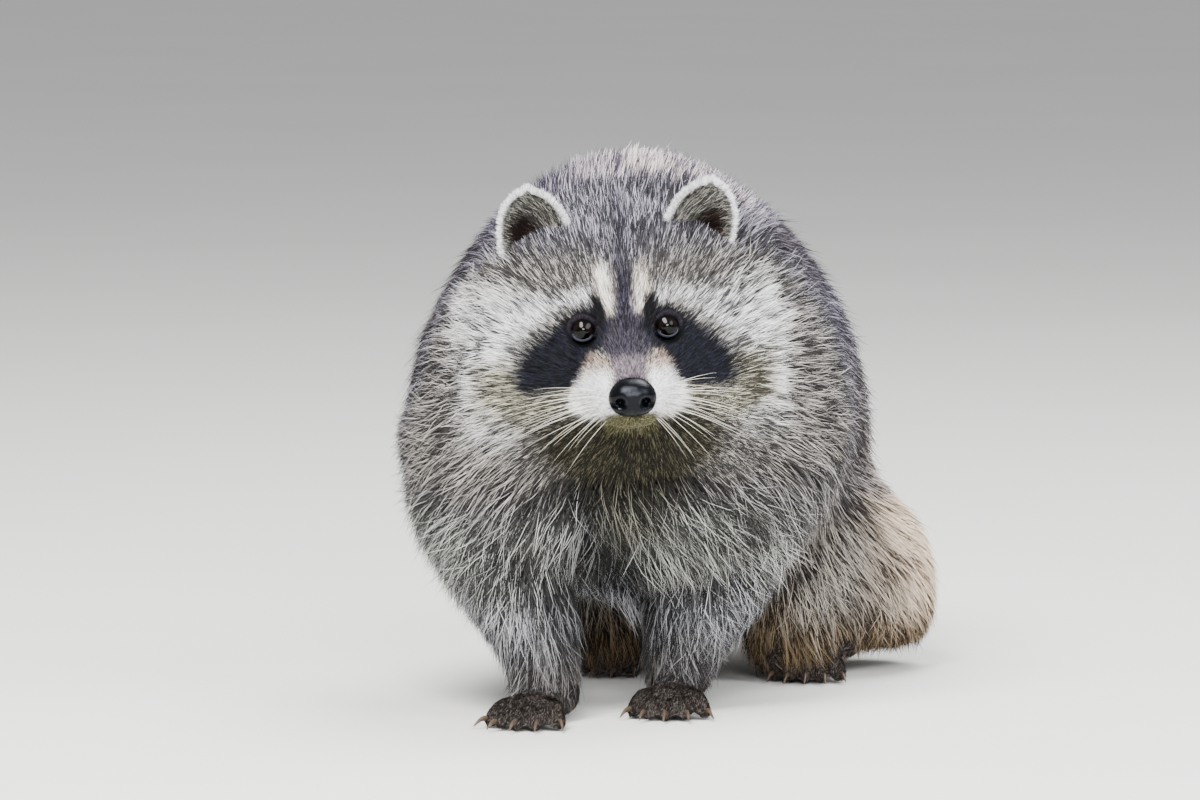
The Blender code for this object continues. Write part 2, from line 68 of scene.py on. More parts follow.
# The regions of the coat: depth, hair length, hair width, hairs per mm2, lock size, lock strength
# and how much the hairs stray from the coat's lie
REGIONS = ("head", "neck", "trunk", "foreleg", "forepaw", "hindleg", "hindpaw", "tail")
COAT = {
    "head": (7, 18, 0.50, 2.0, 2.4, 0.60, 0.13),
    "neck": (18, 44, 0.54, 1.20, 3.4, 0.62, 0.20),
    "trunk": (19, 46, 0.70, 0.50, 4.4, 0.60, 0.17),
    "foreleg": (11, 36, 0.50, 1.5, 3.2, 0.65, 0.24),
    "forepaw": (1.0, 3.6, 0.40, 3.2, 1.2, 0.15, 0.10),
    "hindleg": (14, 38, 0.66, 0.65, 4.0, 0.60, 0.20),
    "hindpaw": (1.0, 4.0, 0.42, 2.8, 1.2, 0.15, 0.10),
    "tail": (20, 46, 0.76, 0.52, 4.2, 0.55, 0.14),
}
SHORT_HAIR = 15           # pale hairs from this length on are drawn in three steps, others in two
SKIN_PALENESS = 0.25      # how much of the pale hairs' share shows in the skin under them
STAND_OFF = 0.32          # share by which tips stand off where the body curves away under them
OFF_FLOOR = 0.5           # the coat stays this much above the floor
PIECE_TRIANGLES = 185000

# The head's own frame (x to its left, y backwards, z up, from between the eyes)
EYES_AHEAD = 4.2          # of the frame's origin
NOSE_AHEAD = 54.3         # of the eyes, as far as it is NOSE_BELOW them
NOSE_BELOW = 24.5
EYE_RADIUS = 7.9
NOSE_HALF = (12.4, 9.0, 10.0)
FRONT_TILT = 12           # the face is seen this many degrees from above when it looks at a viewer


# ---------------- small helpers

def linear(code):
    """An sRGB hex colour as linear red, green and blue."""
    parts = np.array([int(code[i:i + 2], 16) for i in (1, 3, 5)]) / 255
    return np.where(parts <= 0.04045, parts / 12.92, ((parts + 0.055) / 1.055) ** 2.4)


def ramp(value, start, end):
    """0 before start, 1 after end and smooth between; start may be the larger."""
    share = np.clip((value - start) / (end - start), 0, 1)
    return share * share * (3 - 2 * share)


def unit(vectors):
    return vectors / np.maximum(np.linalg.norm(vectors, axis=-1, keepdims=True), 1e-9)


def dot(a, b):
    return (a * b).sum(-1, keepdims=True)


def box_middle(name):
    low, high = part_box(name)
    return (low + high) / 2


def add_node(tree, kind, inputs=None, **settings):
    """Adds a node with its settings; each input is a value or the socket it is linked from."""
    node = tree.nodes.new(kind)
    for key, value in settings.items():
        setattr(node, key, value)
    for socket, value in (inputs or {}).items():
        if isinstance(value, bpy.types.NodeSocket):
            tree.links.new(value, node.inputs[socket])
        else:
            node.inputs[socket].default_value = value
    return node


def new_material(name, roughness, **plain):
    """A material with its tree, its Principled shader and its Object coordinates."""
    material = bpy.data.materials.new(name)
    material.use_nodes = True
    tree = material.node_tree
    shader = tree.nodes["Principled BSDF"]
    shader.inputs["Roughness"].default_value = roughness
    for key, value in plain.items():
        shader.inputs[PLAIN_INPUTS[key]].default_value = value
    place = add_node(tree, "ShaderNodeTexCoord")
    return material, tree, shader, place.outputs["Object"]


def new_object(name, mesh, material=None):
    item = bpy.data.objects.new(name, mesh)
    bpy.context.scene.collection.objects.link(item)
    if material is not None:
        mesh.materials.append(material)
    return item


def evaluated(item):
    """A new mesh with the object's modifiers made real; the object goes."""
    graph = bpy.context.evaluated_depsgraph_get()
    mesh = bpy.data.meshes.new_from_object(item.evaluated_get(graph))
    bpy.data.objects.remove(item)
    return mesh


def opened(*meshes):
    """The meshes together as one bmesh."""
    bm = bmesh.new()
    for mesh in meshes:
        bm.from_mesh(mesh)
    return bm


def closed(bm, mesh):
    """Writes the bmesh back to the mesh, or to a new one of that name."""
    if isinstance(mesh, str):
        mesh = bpy.data.meshes.new(mesh)
    bm.to_mesh(mesh)
    bm.free()
    return mesh


def read(items, key, width, kind=np.float32):
    """A row of numbers for each vertex, edge, loop or triangle."""
    values = np.empty(len(items) * width, kind)
    items.foreach_get(key, values)
    return values.reshape(-1, width)


def write(items, key, values, kind=np.float32):
    items.foreach_set(key, np.asarray(values).astype(kind).ravel())


def coordinates(mesh):
    return read(mesh.vertices, "co", 3).astype(float)


def spread(values, pairs, passes, share=0.5):
    """Evens the values out over neighbouring vertices; share may be one per vertex."""
    count = len(values)
    near = np.maximum(np.bincount(pairs.ravel(), minlength=count), 1)[:, None]
    for _ in range(passes):
        total = np.empty_like(values)
        for k in range(values.shape[1]):
            total[:, k] = np.bincount(pairs[:, 0], values[pairs[:, 1], k], count)
            total[:, k] += np.bincount(pairs[:, 1], values[pairs[:, 0], k], count)
        values = values + (total / near - values) * share
    return values


# ---------------- the head's frame

def head_frame():
    """The head's axes as columns and its origin, from where the eyes and the nose are."""
    left, right, nose = (box_middle(name) for name in ("eye_left", "eye_right", "nose"))
    across = (left - right).normalized()
    ahead = nose - (left + right) / 2
    ahead = (ahead - ahead.dot(across) * across).normalized()
    level = Matrix.Rotation(-math.atan2(NOSE_BELOW, NOSE_AHEAD), 3, across) @ ahead
    back = -level
    up = across.cross(back)
    origin = (left + right) / 2 + back * EYES_AHEAD * MM
    axes = np.array([across, back, up]).T
    return axes, np.array(origin)


HEAD_AXES, HEAD_ORIGIN = head_frame()


def to_head(points):
    """Row coordinates in metres to the head's frame in millimetres."""
    return (points - HEAD_ORIGIN) @ HEAD_AXES / MM


def from_head(points):
    return np.asarray(points, float) @ HEAD_AXES.T * MM + HEAD_ORIGIN


EYES = {side: to_head(np.array(box_middle("eye_" + name)))
        for side, name in ((1, "left"), (-1, "right"))}
NOSE = to_head(np.array(box_middle("nose")))
GAZE = unit(np.array((0.10, -1.0, -0.02)))     # the left eye's; the right one's is its mirror


# ---------------- markings

# Undercoat and dark hairs, pale hairs, share of pale ones, darkness of the tips
FINISHES = {
    "back": ("#17141d", "#aaa4ba", 0.20, 0.30),
    "nape": ("#2c2b40", "#f6e6e2", 0.50, 0.08),
    "flank": ("#110e10", "#c6bebf", 0.165, 0.15),
    "shoulder": ("#100c0f", "#988c8a", 0.14, 0.15),
    # painted shade for the body's coat in the hollow behind the ruff
    "shade": ("#0b080b", "#7b7078", 0.13, 0.10),
    "chest": ("#080705", "#d6d7d2", 0.17, 0.0),
    # the throat's own dark colour with a painted green reflection of grass in it
    "throat": ("#080705", "#615d49", 0.14, 0.0),
    "bib": ("#0c0b08", "#918f7e", 0.17, 0.0),
    "belly": ("#15110e", "#7a6d60", 0.28, 0.0),
    "foreleg": ("#08080a", "#d0d2d8", 0.22, 0.0),
    # painted shade on the forelegs' inner sides and between them
    "leg_inner": ("#050505", "#56575a", 0.14, 0.0),
    "knee": ("#171314", "#c4bbb1", 0.40, 0.0),
    "haunch": ("#46362a", "#fbe4ca", 0.72, 0.10),
    "hock": ("#241c15", "#8a7558", 0.38, 0.2),
    "paw": ("#181413", "#6c645e", 0.30, 0.0),
    "tail_pale": ("#40372f", "#c4b29c", 0.52, 0.10),
    "tail_dark": ("#080706", "#2c241f", 0.25, 0.0),
    "crown": ("#09080c", "#bab6c4", 0.17, 0.15),
    "forehead": ("#0c0b0e", "#d2ccc6", 0.18, 0.05),
    "stripe": ("#110f15", "#544f5e", 0.26, 0.1),
    "cream": ("#6b5e54", "#fffbf2", 0.80, 0.0),
    "brow": ("#201f23", "#ffffff", 0.58, 0.0),
    "mask": ("#040507", "#20222f", 0.36, 0.0),
    "bridge": ("#100e13", "#4d4854", 0.38, 0.0),
    "tan": ("#332d31", "#837880", 0.60, 0.0),
    "muzzle": ("#8d9098", "#ffffff", 0.86, 0.0),
    "muzzle_top": ("#2e2623", "#cdb8a8", 0.56, 0.0),
    # the chin's own colour with a painted green reflection of grass in it
    "chin": ("#252416", "#868360", 0.42, 0.0),
    "cheek": ("#1d1b14", "#d6d1bc", 0.24, 0.0),
    "ruff": ("#25211f", "#ffffff", 0.78, 0.0),
    "lid": ("#020203", "#08080a", 0.30, 0.0),
    "lid_fold": ("#17131a", "#312a35", 0.35, 0.0),
    # painted shade in the fold over each eye and in its inner corner
    "crease": ("#050405", "#141216", 0.25, 0.0),
    # painted reflection on the wet lower rim of the lids
    "lid_rim": ("#2c2e38", "#5a5d6b", 0.50, 0.0),
    "ear_back": ("#17151a", "#8a858b", 0.25, 0.1),
    "ear_inner": ("#1e1c1b", "#b8b6ad", 0.34, 0.0),
    "ear_deep": ("#0b0706", "#43312a", 0.22, 0.0),
    "ear_rim": ("#8e8f93", "#ffffff", 0.88, 0.0),
}
FINISHES = {
    name: np.array([*linear(dark), *linear(pale), share, tip])
    for name, (dark, pale, share, tip) in FINISHES.items()
}

# Outlines on the face, seen from in front: out from its middle line and up from the eyes
MASK = ((8, 0), (9.5, 8), (12.5, 16), (16.5, 17), (18, 11), (26, 10), (32, 6), (43, -2), (53, -10),
        (59, -20), (59, -31), (50, -35), (38, -34), (27, -31), (20, -20), (13, -10))
BROW = ((17, 11), (24, 13), (31, 11), (44, 3), (54, -5), (66, -10), (78, -2), (76, 12), (58, 18),
        (42, 19), (28, 19), (17, 22))
CREAM = ((5.5, 6), (5.5, 22), (8, 32), (12, 33), (14.5, 22), (13, 12), (10, 4))
BRIDGE = ((-9, 10), (8, 6), (13, 3), (15, -4), (13.5, -11), (10, -17), (9, -22), (9, -34),
          (-9, -36))
MUZZLE = ((9.5, -20), (12, -15), (18, -13), (22, -18), (25, -26), (30, -33), (31, -42), (21, -47),
          (10, -48), (-9, -48), (-9, -40), (10, -36))
THROAT = ((-25, -49), (24, -44), (40, -44), (50, -54), (47, -68), (34, -80), (22, -92), (-25, -84))
BIB = ((-20, -78), (14, -80), (20, -90), (14, -108), (-20, -114))
CHEEK = ((24, -28), (38, -30), (55, -27), (60, -15), (78, -18), (78, -40), (56, -50), (30, -43))


def within(outline, across, up, soft):
    """1 inside the outline and 0 outside, over an edge that is soft millimetres wide."""
    corners = np.array(outline, float)
    nearest = np.full(across.shape, 1e9)
    enclosed = np.zeros(across.shape, bool)
    for a, b in zip(corners, np.roll(corners, -1, 0)):
        edge = b - a
        share = np.clip(((across - a[0]) * edge[0] + (up - a[1]) * edge[1]) / (edge @ edge), 0, 1)
        away = np.hypot(across - a[0] - share * edge[0], up - a[1] - share * edge[1])
        nearest = np.minimum(nearest, away)
        spans = (a[1] > up) != (b[1] > up)
        rise = edge[1] if edge[1] else 1e-9
        enclosed ^= spans & (across < a[0] + (up - a[1]) * edge[0] / rise)
    return ramp(np.where(enclosed, nearest, -nearest), -soft / 2, soft / 2)


def off_sight(head_spots):
    """How far each spot is ahead of the nearer eye, and its offset from the line of sight."""
    mirrored = head_spots.copy()
    mirrored[:, 0] = np.abs(mirrored[:, 0])
    away = mirrored - EYES[1]
    ahead = away @ GAZE
    return ahead, away - ahead[:, None] * GAZE


def eye_distance(head_spots):
    """How far each spot is from the nearer eye's line of sight, and how far over the eye it is."""
    ahead, aside = off_sight(head_spots)
    return np.where(ahead > -8, np.linalg.norm(aside, axis=1), FAR_OFF), aside[:, 2]


def by_region(weights):
    """Each region's share of every point, by its name."""
    return dict(zip(REGIONS, weights.T))


def markings(spots, outward, weights, ear):
    """The finish at each spot: dark colour, pale colour, share of pale, darkness of the tips."""
    finish = np.tile(FINISHES["back"], (len(spots), 1))

    def paint(name, amount):
        amount = np.clip(amount, 0, 1)[:, None]
        finish[:] = finish * (1 - amount) + FINISHES[name] * amount

    part = by_region(weights)
    x, y, z = (spots / MM).T
    front = ramp(-outward[:, 1], 0.05, 0.70)

    # Trunk and neck
    body = part["trunk"] + part["neck"]
    paint("flank", body * ramp(z, 225, 120))
    paint("shoulder", body * ramp(y, -120, -190) * ramp(z, 120, 160) * ramp(z, 225, 190) * 0.7)
    hump = ramp(z, 215, 255) * ramp(np.abs(x - HEAD_ORIGIN[0] / MM), 80, 20)
    paint("nape", body * hump * ramp(y, -40, -170) * 0.85)
    bib = front * ramp(y, -70, -190)
    bib = bib * ramp(-outward[:, 1], 0.30, 0.75) ** ramp(z, 110, 150)
    paint("chest", body * bib * ramp(z, 200, 140) * 0.95)
    paint("belly", body * ramp(outward[:, 2], -0.35, -0.75) * ramp(y, -165, -110))

    # Legs and paws
    paint("foreleg", part["foreleg"])
    # The forelegs' inner sides and the body between them are painted darker: painted shade between
    # the legs
    to_middle = -outward[:, 0] * np.sign(x - MIDDLE_X)
    legs = np.clip(part["foreleg"] + body * ramp(z, 110, 80), 0, 1)
    between = ramp(np.abs(x - MIDDLE_X), 26, 8) * ramp(z, 160, 110) * ramp(y, -120, -160)
    paint("leg_inner", np.maximum(legs * ramp(to_middle, 0.15, 0.75), body * between) * 0.85)
    paint("paw", part["foreleg"] * ramp(z, 58, 18) * 0.75)
    paint("knee", part["hindleg"])
    paint("haunch", part["hindleg"] * ramp(y, -25, 25))
    paint("haunch", part["trunk"] * ramp(y, 0, 50) * ramp(z, 150, 70) * 0.8)
    paint("hock", part["hindleg"] * ramp(z, 44, 16))
    paint("hock", part["hindleg"] * ramp(np.abs(x - SPINE_X), 62, 38) * 0.7)
    paint("paw", part["forepaw"] + part["hindpaw"])

    # Tail
    along = (spots - TAIL_START) @ TAIL_WAY / MM
    rings = ramp(np.sin((along - TAIL_FIRST_RING) * 2 * math.pi / RING_SPACING), -0.15, 0.35)
    tip = ramp(along, TAIL_LENGTH - 34, TAIL_LENGTH - 22)
    paint("tail_pale", part["tail"])
    paint("tail_dark", part["tail"] * np.maximum(rings, tip))

    # Head, and painted shade on the body in the hollow behind its ruff
    head_spots = to_head(spots)
    across = np.abs(head_spots[:, 0])
    tilt = math.radians(FRONT_TILT)
    up = head_spots[:, 2] * math.cos(tilt) + head_spots[:, 1] * math.sin(tilt)
    from_ruff = np.hypot(head_spots[:, 0], head_spots[:, 2] + 12)
    # The body's coat just behind the ruff is painted darker: painted shade that falls there
    paint("shade", body * ramp(from_ruff, 132, 98) * ramp(up, -72, -36) * ramp(up, 66, 40) * 0.9)
    behind = head_spots[:, 1]
    head = np.clip(part["head"] * 1.6, 0, 1)
    face = head * ramp(behind, 78, 58)
    paint("crown", head)
    paint("forehead", face * ramp(up, 52, 30))
    paint("crown", face * ramp(across, 22, 6) * ramp(up, 24, 40) * 0.8)
    ruff = np.clip(part["head"] + 0.8 * part["neck"], 0, 1) * ramp(across, 50, 62)
    ruff = ruff * ramp(across, 88, 82) * ramp(behind, 74, 60)
    paint("ruff", ruff * ramp(up, 34, 10) * ramp(up, -70, -34))
    paint("cheek", face * within(CHEEK, across, up, 14))
    under = np.clip(part["head"] + part["neck"] + part["trunk"], 0, 1) * ramp(behind, 110, 60)
    paint("bib", under * within(BIB, across, up, 18) * front * 0.8)
    # The throat: its own dark colour with a painted green reflection of grass
    paint("throat", under * within(THROAT, across, up, 20) * front)
    paint("brow", face * within(BROW, across, up, 8))
    paint("stripe", face * ramp(across, 8.5, 4.5) * ramp(up, 50, 18) * ramp(up, -36, -24))
    paint("cream", face * within(CREAM, across, up, 6) * 0.85)
    paint("bridge", face * within(BRIDGE, across, up, 4.5))
    paint("stripe", face * ramp(across, 4.5, 1) * ramp(up, -14, 0) * 0.8)
    paint("tan", face * ramp(across, 10, 7) * ramp(up, -12, -19) * ramp(up, -40, -34))
    paint("mask", face * within(MASK, across, up, 4 + 6 * ramp(across, 24, 44)))
    # Painted shade in the inner corner of each eye, darker than the mask
    corner = np.hypot((across - 13.5) / 3.2, (up - 8) / 8.5)
    paint("crease", face * ramp(corner, 1.25, 0.75))
    white = face * within(MUZZLE, across, up, 6)
    paint("muzzle_top", white)
    paint("muzzle", white * ramp(up, -18, -28))
    pad = np.linalg.norm((head_spots - NOSE) / NOSE_HALF, axis=1)
    paint("bridge", face * ramp(pad, 1.45, 1.15) * ramp(head_spots[:, 2] - NOSE[2], 4, 7))
    # The chin: its own colour with a painted green reflection of grass
    paint("chin", face * ramp(across, 17, 11) * ramp(up, -44, -47) * ramp(up, -60, -52))
    near_eye, over_eye = eye_distance(head_spots)
    # Painted shade in the fold over each eye
    paint("crease", face * ramp(near_eye, 11.5, 9.5) * ramp(over_eye, 0, 4))
    paint("lid_fold", face * ramp(near_eye, 9.6, 8.0) * ramp(over_eye, -1, 2))
    paint("lid", face * ramp(near_eye, 7.2, 6.4))
    # Painted reflection along the wet lower rim of each lid
    paint("lid_rim", face * ramp(near_eye, 5.8, 5.2) * ramp(over_eye, 1, -1.5))

    # Ears: 1 on them, then height, place across, whether it is inside and nearness to the rim
    on_ear, height, aside, inner, rim = ear.T
    paint("ear_back", on_ear)
    paint("ear_inner", on_ear * inner)
    deep = ramp(np.hypot((aside - 0.22) / 0.52, (height - 0.34) / 0.36), 1.15, 0.60)
    paint("ear_deep", on_ear * inner * deep)
    paint("ear_rim", on_ear * rim)
    paint("cream", on_ear * ramp(aside, -0.45, -0.80) * ramp(height, 0.55, 0.30) * inner)
    return finish


# ---------------- the skin

FLESH = sorted(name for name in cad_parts
               if name.startswith(("head", "neck", "trunk", "front_", "hind_", "tail_")))


def region_of(node):
    """front_leg_left is of the foreleg, tail_tip of the tail."""
    kind, *rest = node.split("_")
    if kind in ("front", "hind"):
        return kind.replace("front", "fore") + rest[0]
    return kind


SPINE_X = box_middle("tail_base").x / MM
MIDDLE_X = (box_middle("front_paw_left").x + box_middle("front_paw_right").x) / 2 / MM
TAIL_START = np.array(box_middle("tail_base"))
TAIL_WAY = unit(np.array(box_middle("tail_tip")) - TAIL_START)
TAIL_LENGTH = 190
TAIL_FIRST_RING = -28
RING_SPACING = 42


def joined_flesh():
    """All flesh nodes in one bmesh, merged and swollen to close the cuts between them."""
    bm = opened(*(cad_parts[name].data for name in FLESH + ["eye_left", "eye_right"]))
    bmesh.ops.remove_doubles(bm, verts=bm.verts, dist=SAME_SPOT)
    bm.normal_update()
    for vertex in bm.verts:
        vertex.co += vertex.normal * SKIN_SWELL * MM
    return bm


def envelope_mesh():
    """One closed mesh out to the tips of the coat, finer towards the face."""
    item = new_object("envelope", closed(joined_flesh(), "envelope"))
    remesh = item.modifiers.new("join", "REMESH")
    remesh.mode = "VOXEL"
    remesh.voxel_size = SKIN_VOXEL * MM
    mesh = evaluated(item)

    for limit in FINER_AHEAD:
        bm = opened(mesh)
        spots = to_head(np.array([face.calc_center_median() for face in bm.faces]))
        reach = np.linalg.norm(spots * (1, 0, 1), axis=1)
        bm.faces.ensure_lookup_table()
        chosen = np.flatnonzero((spots[:, 1] < limit) & (reach < FACE_REACH))
        edges = {edge for i in chosen for edge in bm.faces[i].edges}
        bmesh.ops.subdivide_edges(bm, edges=list(edges), cuts=1, use_grid_fill=True)
        closed(bm, mesh)
    bm = opened(mesh)
    bmesh.ops.triangulate(bm, faces=bm.faces)
    return closed(bm, mesh)


def region_weights(points, pairs):
    """How much each region has of each point: the nearest node's region, blended outwards."""
    corners, faces, owners = [], [], []
    for name in FLESH:
        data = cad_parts[name].data
        start = len(corners)
        corners.extend(vertex.co.copy() for vertex in data.vertices)
        faces.extend([start + i for i in face.vertices] for face in data.polygons)
        owners.extend([REGIONS.index(region_of(name))] * len(data.polygons))
    tree = BVHTree.FromPolygons(corners, faces)
    weights = np.zeros((len(points), len(REGIONS)))
    for i, point in enumerate(points):
        weights[i, owners[tree.find_nearest(point)[2]]] = 1
    return spread(weights, pairs, BLEND_PASSES)


def coat_fields(points, outward, weights):
    """Depth, hair length, width, density, lock size, lock strength and stray at each point."""
    fields = weights @ np.array([COAT[name] for name in REGIONS])
    spots = to_head(points)
    across, behind, up = np.abs(spots[:, 0]), spots[:, 1], spots[:, 2]
    part = by_region(weights)

    def blend(amount, row):
        amount = np.clip(amount, 0, 1)[:, None]
        fields[:] = fields * (1 - amount) + np.array(row, float) * amount

    body = part["trunk"] + part["neck"]
    y = points[:, 1] / MM
    blend(body * ramp(-outward[:, 1], 0.1, 0.6) * ramp(y, -120, -170),
          (18, 50, 0.52, 1.15, 3.2, 0.65, 0.22))
    blend(body * ramp(points[:, 2] / MM, 225, 258) * ramp(y, -20, -80),
          (14, 26, 0.54, 1.10, 3.0, 0.55, 0.12))
    blend(body * ramp(-outward[:, 2], 0.4, 0.7) * ramp(y, -170, -120),
          (14, 34, 0.80, 0.35, 5.0, 0.40, 0.15))
    face = ramp(part["head"], 0.3, 0.7)
    blend(face * ramp(behind, 40, 62), (13, 26, 0.56, 1.30, 3.0, 0.62, 0.16))
    blend(face * ramp(across, 46, 66) * ramp(behind, 8, 30),
          (15, 37, 0.52, 1.50, 4.2, 0.78, 0.15))
    blend(face * ramp(up, -28, -50) * ramp(behind, -6, 22), (14, 38, 0.50, 1.50, 3.2, 0.62, 0.24))
    blend(face * ramp(behind, 30, 8) * ramp(across, 60, 46) * ramp(up, -40, -28),
          (3.6, 11, 0.44, 3.0, 2.1, 0.58, 0.13))
    blend(face * ramp(behind, 2, -12), (1.4, 5.5, 0.36, 4.8, 1.4, 0.30, 0.12))
    blend(face * ramp(behind, -36, -50), (0.8, 2.8, 0.32, 6.0, 1.2, 0.10, 0.10))
    near_eye, _ = eye_distance(spots)
    blend(face * ramp(near_eye, 16, 9), (1.0, 4.2, 0.34, 5.0, 1.3, 0.20, 0.12))
    return fields


FLOW_SOURCE = np.array((0, -95, -26))     # the face's hair runs away from a point before the nose


def hair_flow(points, outward, weights, pairs):
    """The way the coat lies at each point, along the surface."""
    part = {name: share[:, None] for name, share in by_region(weights).items()}
    spots = to_head(points)
    head_way = unit(spots - FLOW_SOURCE) @ HEAD_AXES.T
    head_way[:, 2] -= 0.20 * ramp(np.abs(spots[:, 0]), 45, 70)

    x, y, z = (points / MM).T
    front = ramp(-outward[:, 1], 0.0, 0.6)
    spine = np.where(y > -130, ramp(y, -130, 80) * SPINE_X, 0)
    aside = (x - spine) / 110
    nape = ramp(z, 200, 235) * ramp(y, -50, -100) * ramp(np.abs(x), 95, 40)
    back_way = np.stack([0.12 * aside, 0.80 * (1 - front * (1 - nape)),
                         (-0.42 - 0.5 * front) * (1 - nape) + 0.45 * nape], 1)
    front = front * (1 - nape)
    fan = np.clip((x - MIDDLE_X) / 95, -1, 1) * (0.55 + 0.85 * ramp(z, 50, 150))
    chest_way = np.stack([fan, np.zeros(len(x)), np.full(len(x), -1.0)], 1)
    trunk_way = back_way * (1 - front[:, None]) + chest_way * front[:, None]

    flow = head_way * part["head"] + trunk_way * (part["trunk"] + part["neck"])
    for side, name in ((1, "left"), (-1, "right")):
        axis_x = box_middle("front_paw_" + name).x / MM
        lean = np.clip((x - axis_x) / 30, -1, 1) * 0.40
        mine = (part["foreleg"][:, 0] * ((x > 0) == (side > 0)))[:, None]
        flow += np.stack([lean, np.full(len(x), 0.05), np.full(len(x), -1.0)], 1) * mine
    flow += np.array((0, 0.55, -0.80)) * part["hindleg"]
    flow += np.array((0, -1.0, -0.35)) * (part["forepaw"] + part["hindpaw"])
    steep = ramp(z, 40, 80)[:, None]
    flow += (TAIL_WAY * (1 - steep) + unit(np.array((0, 0.80, -0.55))) * steep) * part["tail"]

    for _ in range(3):
        flow = unit(flow - dot(flow, outward) * outward)
        flow = spread(flow, pairs, 3)
    return unit(flow - dot(flow, outward) * outward)


MOUTH_FRONT = (-58, -38)      # y and z of the mouth line under the nose, in the head's frame
MOUTH_SLOPE = -0.10           # it drops a little towards the corners


def shape_face(skin, weights):
    """Presses in the eye sockets, the mouth line and the seat of the nose."""
    spots = to_head(skin)
    head = ramp(by_region(weights)["head"], 0.3, 0.7)
    ahead, aside = off_sight(spots)
    socket = ramp(np.linalg.norm(aside, axis=1), 9.8, 7.0)
    sink = head * socket * (ahead > -6) * np.maximum(ahead - 1.5, 0)
    shift = -sink[:, None] * GAZE
    shift[:, 0] *= np.sign(spots[:, 0])
    spots = spots + shift

    mouth = MOUTH_FRONT[1] + (spots[:, 1] - MOUTH_FRONT[0]) * MOUTH_SLOPE
    groove = np.exp(-((spots[:, 2] - mouth) / 1.3) ** 2) * ramp(spots[:, 1], -12, -22)
    inward = unit(spots * (1, 0, 0) + (0, 0, 1e-6)) * ramp(spots[:, 1], -58, -48)[:, None]
    inward = inward + np.array((0, -1, 0)) * ramp(spots[:, 1], -48, -58)[:, None]
    spots = spots - inward * (1.2 * head * groove)[:, None]

    seat = head * ramp(np.hypot((spots[:, 0] - NOSE[0]) / 12, (spots[:, 2] - NOSE[2]) / 9.5),
                       1.25, 0.9)
    pressed = np.maximum(spots[:, 1], NOSE[1] + 4)
    spots[:, 1] = spots[:, 1] * (1 - seat) + pressed * seat
    return from_head(spots)


# Lids: half width and half height of the opening, the coat on them, and the patch's rows outwards
OPENING = (5.6, 4.9)
OPENING_RISE = 1.5        # it sits this much over the line of sight
LID_HAIR = (0.4, 2.8, 0.32, 8.0, 1.2, 0.15, 0.2)
LID_THICKNESS = 0.4
LID_COLUMNS = 56
LID_ROWS = (0.0, 0.25, 0.55, 0.95, 1.45, 2.05, 2.75, 3.55, 4.45, 5.4)


def eye_axes(side):
    """An eye's line of sight, and what is across it and up."""
    gaze = GAZE * (side, 1, 1)
    across = unit(np.cross(gaze, (0, 0, 1.0)))
    return gaze, across, np.cross(across, gaze)


def add_lids(bm, surface, side):
    """A patch of skin round one eye: a rolled edge on the eyeball that runs out into the face."""
    centre = EYES[side]
    gaze, across, up = eye_axes(side)
    rings = []
    for row, out in enumerate(LID_ROWS):
        ring = []
        for column in range(LID_COLUMNS):
            angle = 2 * math.pi * column / LID_COLUMNS
            c, s = math.cos(angle), math.sin(angle)
            inner_corner = max(0.0, -c * across[0] * side) ** 6
            half_width = OPENING[0] + 1.1 * inner_corner
            edge = 1 / math.sqrt((c / half_width) ** 2 + (s / OPENING[1]) ** 2)
            flat = centre + (across * c + up * s) * (edge + out) + up * OPENING_RISE
            distance = np.linalg.norm(flat - centre)
            if row < 2:
                on_ball = math.sqrt(max(0.1, EYE_RADIUS ** 2 - min(distance, 7.6) ** 2))
                height = on_ball + (LID_THICKNESS * 0.55 if row else -0.5)
            else:
                steep = min(distance, 7.4)
                crease = 0.45 * math.exp(-((out - 2.2) / 0.5) ** 2) * max(0.0, s)
                height = math.sqrt((EYE_RADIUS + LID_THICKNESS) ** 2 - steep ** 2)
                height = height - 1.6 * (distance - steep) - crease
            origin = Vector(from_head(flat + gaze * 40))
            aim = Vector(HEAD_AXES @ -gaze)
            hit = surface.ray_cast(origin, aim, 0.09)[0]
            if hit is not None:
                skin_height = (to_head(np.array(hit)) - centre) @ gaze
                share = ramp(out, 0.8, 4.4)
                height = height * (1 - share) + (skin_height + 0.15) * share
                if row == len(LID_ROWS) - 1:
                    height = skin_height - 0.8
            ring.append(bm.verts.new(from_head(flat + gaze * height)))
        rings.append(ring)
    for inner, outer in zip(rings, rings[1:]):
        for i in range(LID_COLUMNS):
            j = (i + 1) % LID_COLUMNS
            bm.faces.new((inner[i], outer[i], outer[j], inner[j]))


# Ears, for the left one: half widths up the shell, and the cup's form
EAR_HALF_WIDTHS = (16, 17, 17.6, 17.8, 17.6, 17, 16, 14.5)
# The node's foot and tip are moved by this much for the left (1) and the right ear: the hair of
# the rim makes up the rest of the node's height
EAR_FOOT_SHIFT = {1: (-8.0, -7.5, -2.5), -1: (-5.5, -7.5, -2.5)}
EAR_TIP_SHIFT = {1: (3.0, -6.0, -3.5), -1: (-1.5, -6.0, -3.5)}
EAR_GRID = 25             # vertices across and up each of its two faces
EAR_CUP = 8
EAR_WALL = 2.0
EAR_TURN = 14             # degrees that it opens to its side
EAR_RIM = 0.8             # how far the white rim's hair starts from the edge

TOE_LENGTH = 30           # from the claws back to the point that the toes fan out from
GROOVE_HALF_WIDTH = 2.5
GROOVE_DEPTH = 5.5


def ear_ends(side):
    """The middle of an ear's base and its tip, from its node."""
    name = "ear_left" if side > 0 else "ear_right"
    points = to_head(coordinates(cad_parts[name].data))
    heights = points[:, 2]
    top = points[heights > np.quantile(heights, 0.93)].mean(0)
    foot = points[heights < np.quantile(heights, 0.10)].mean(0)
    inwards = (side, 1, 1)
    return (foot + np.array(EAR_FOOT_SHIFT[side]) * inwards,
            top + np.array(EAR_TIP_SHIFT[side]) * inwards)


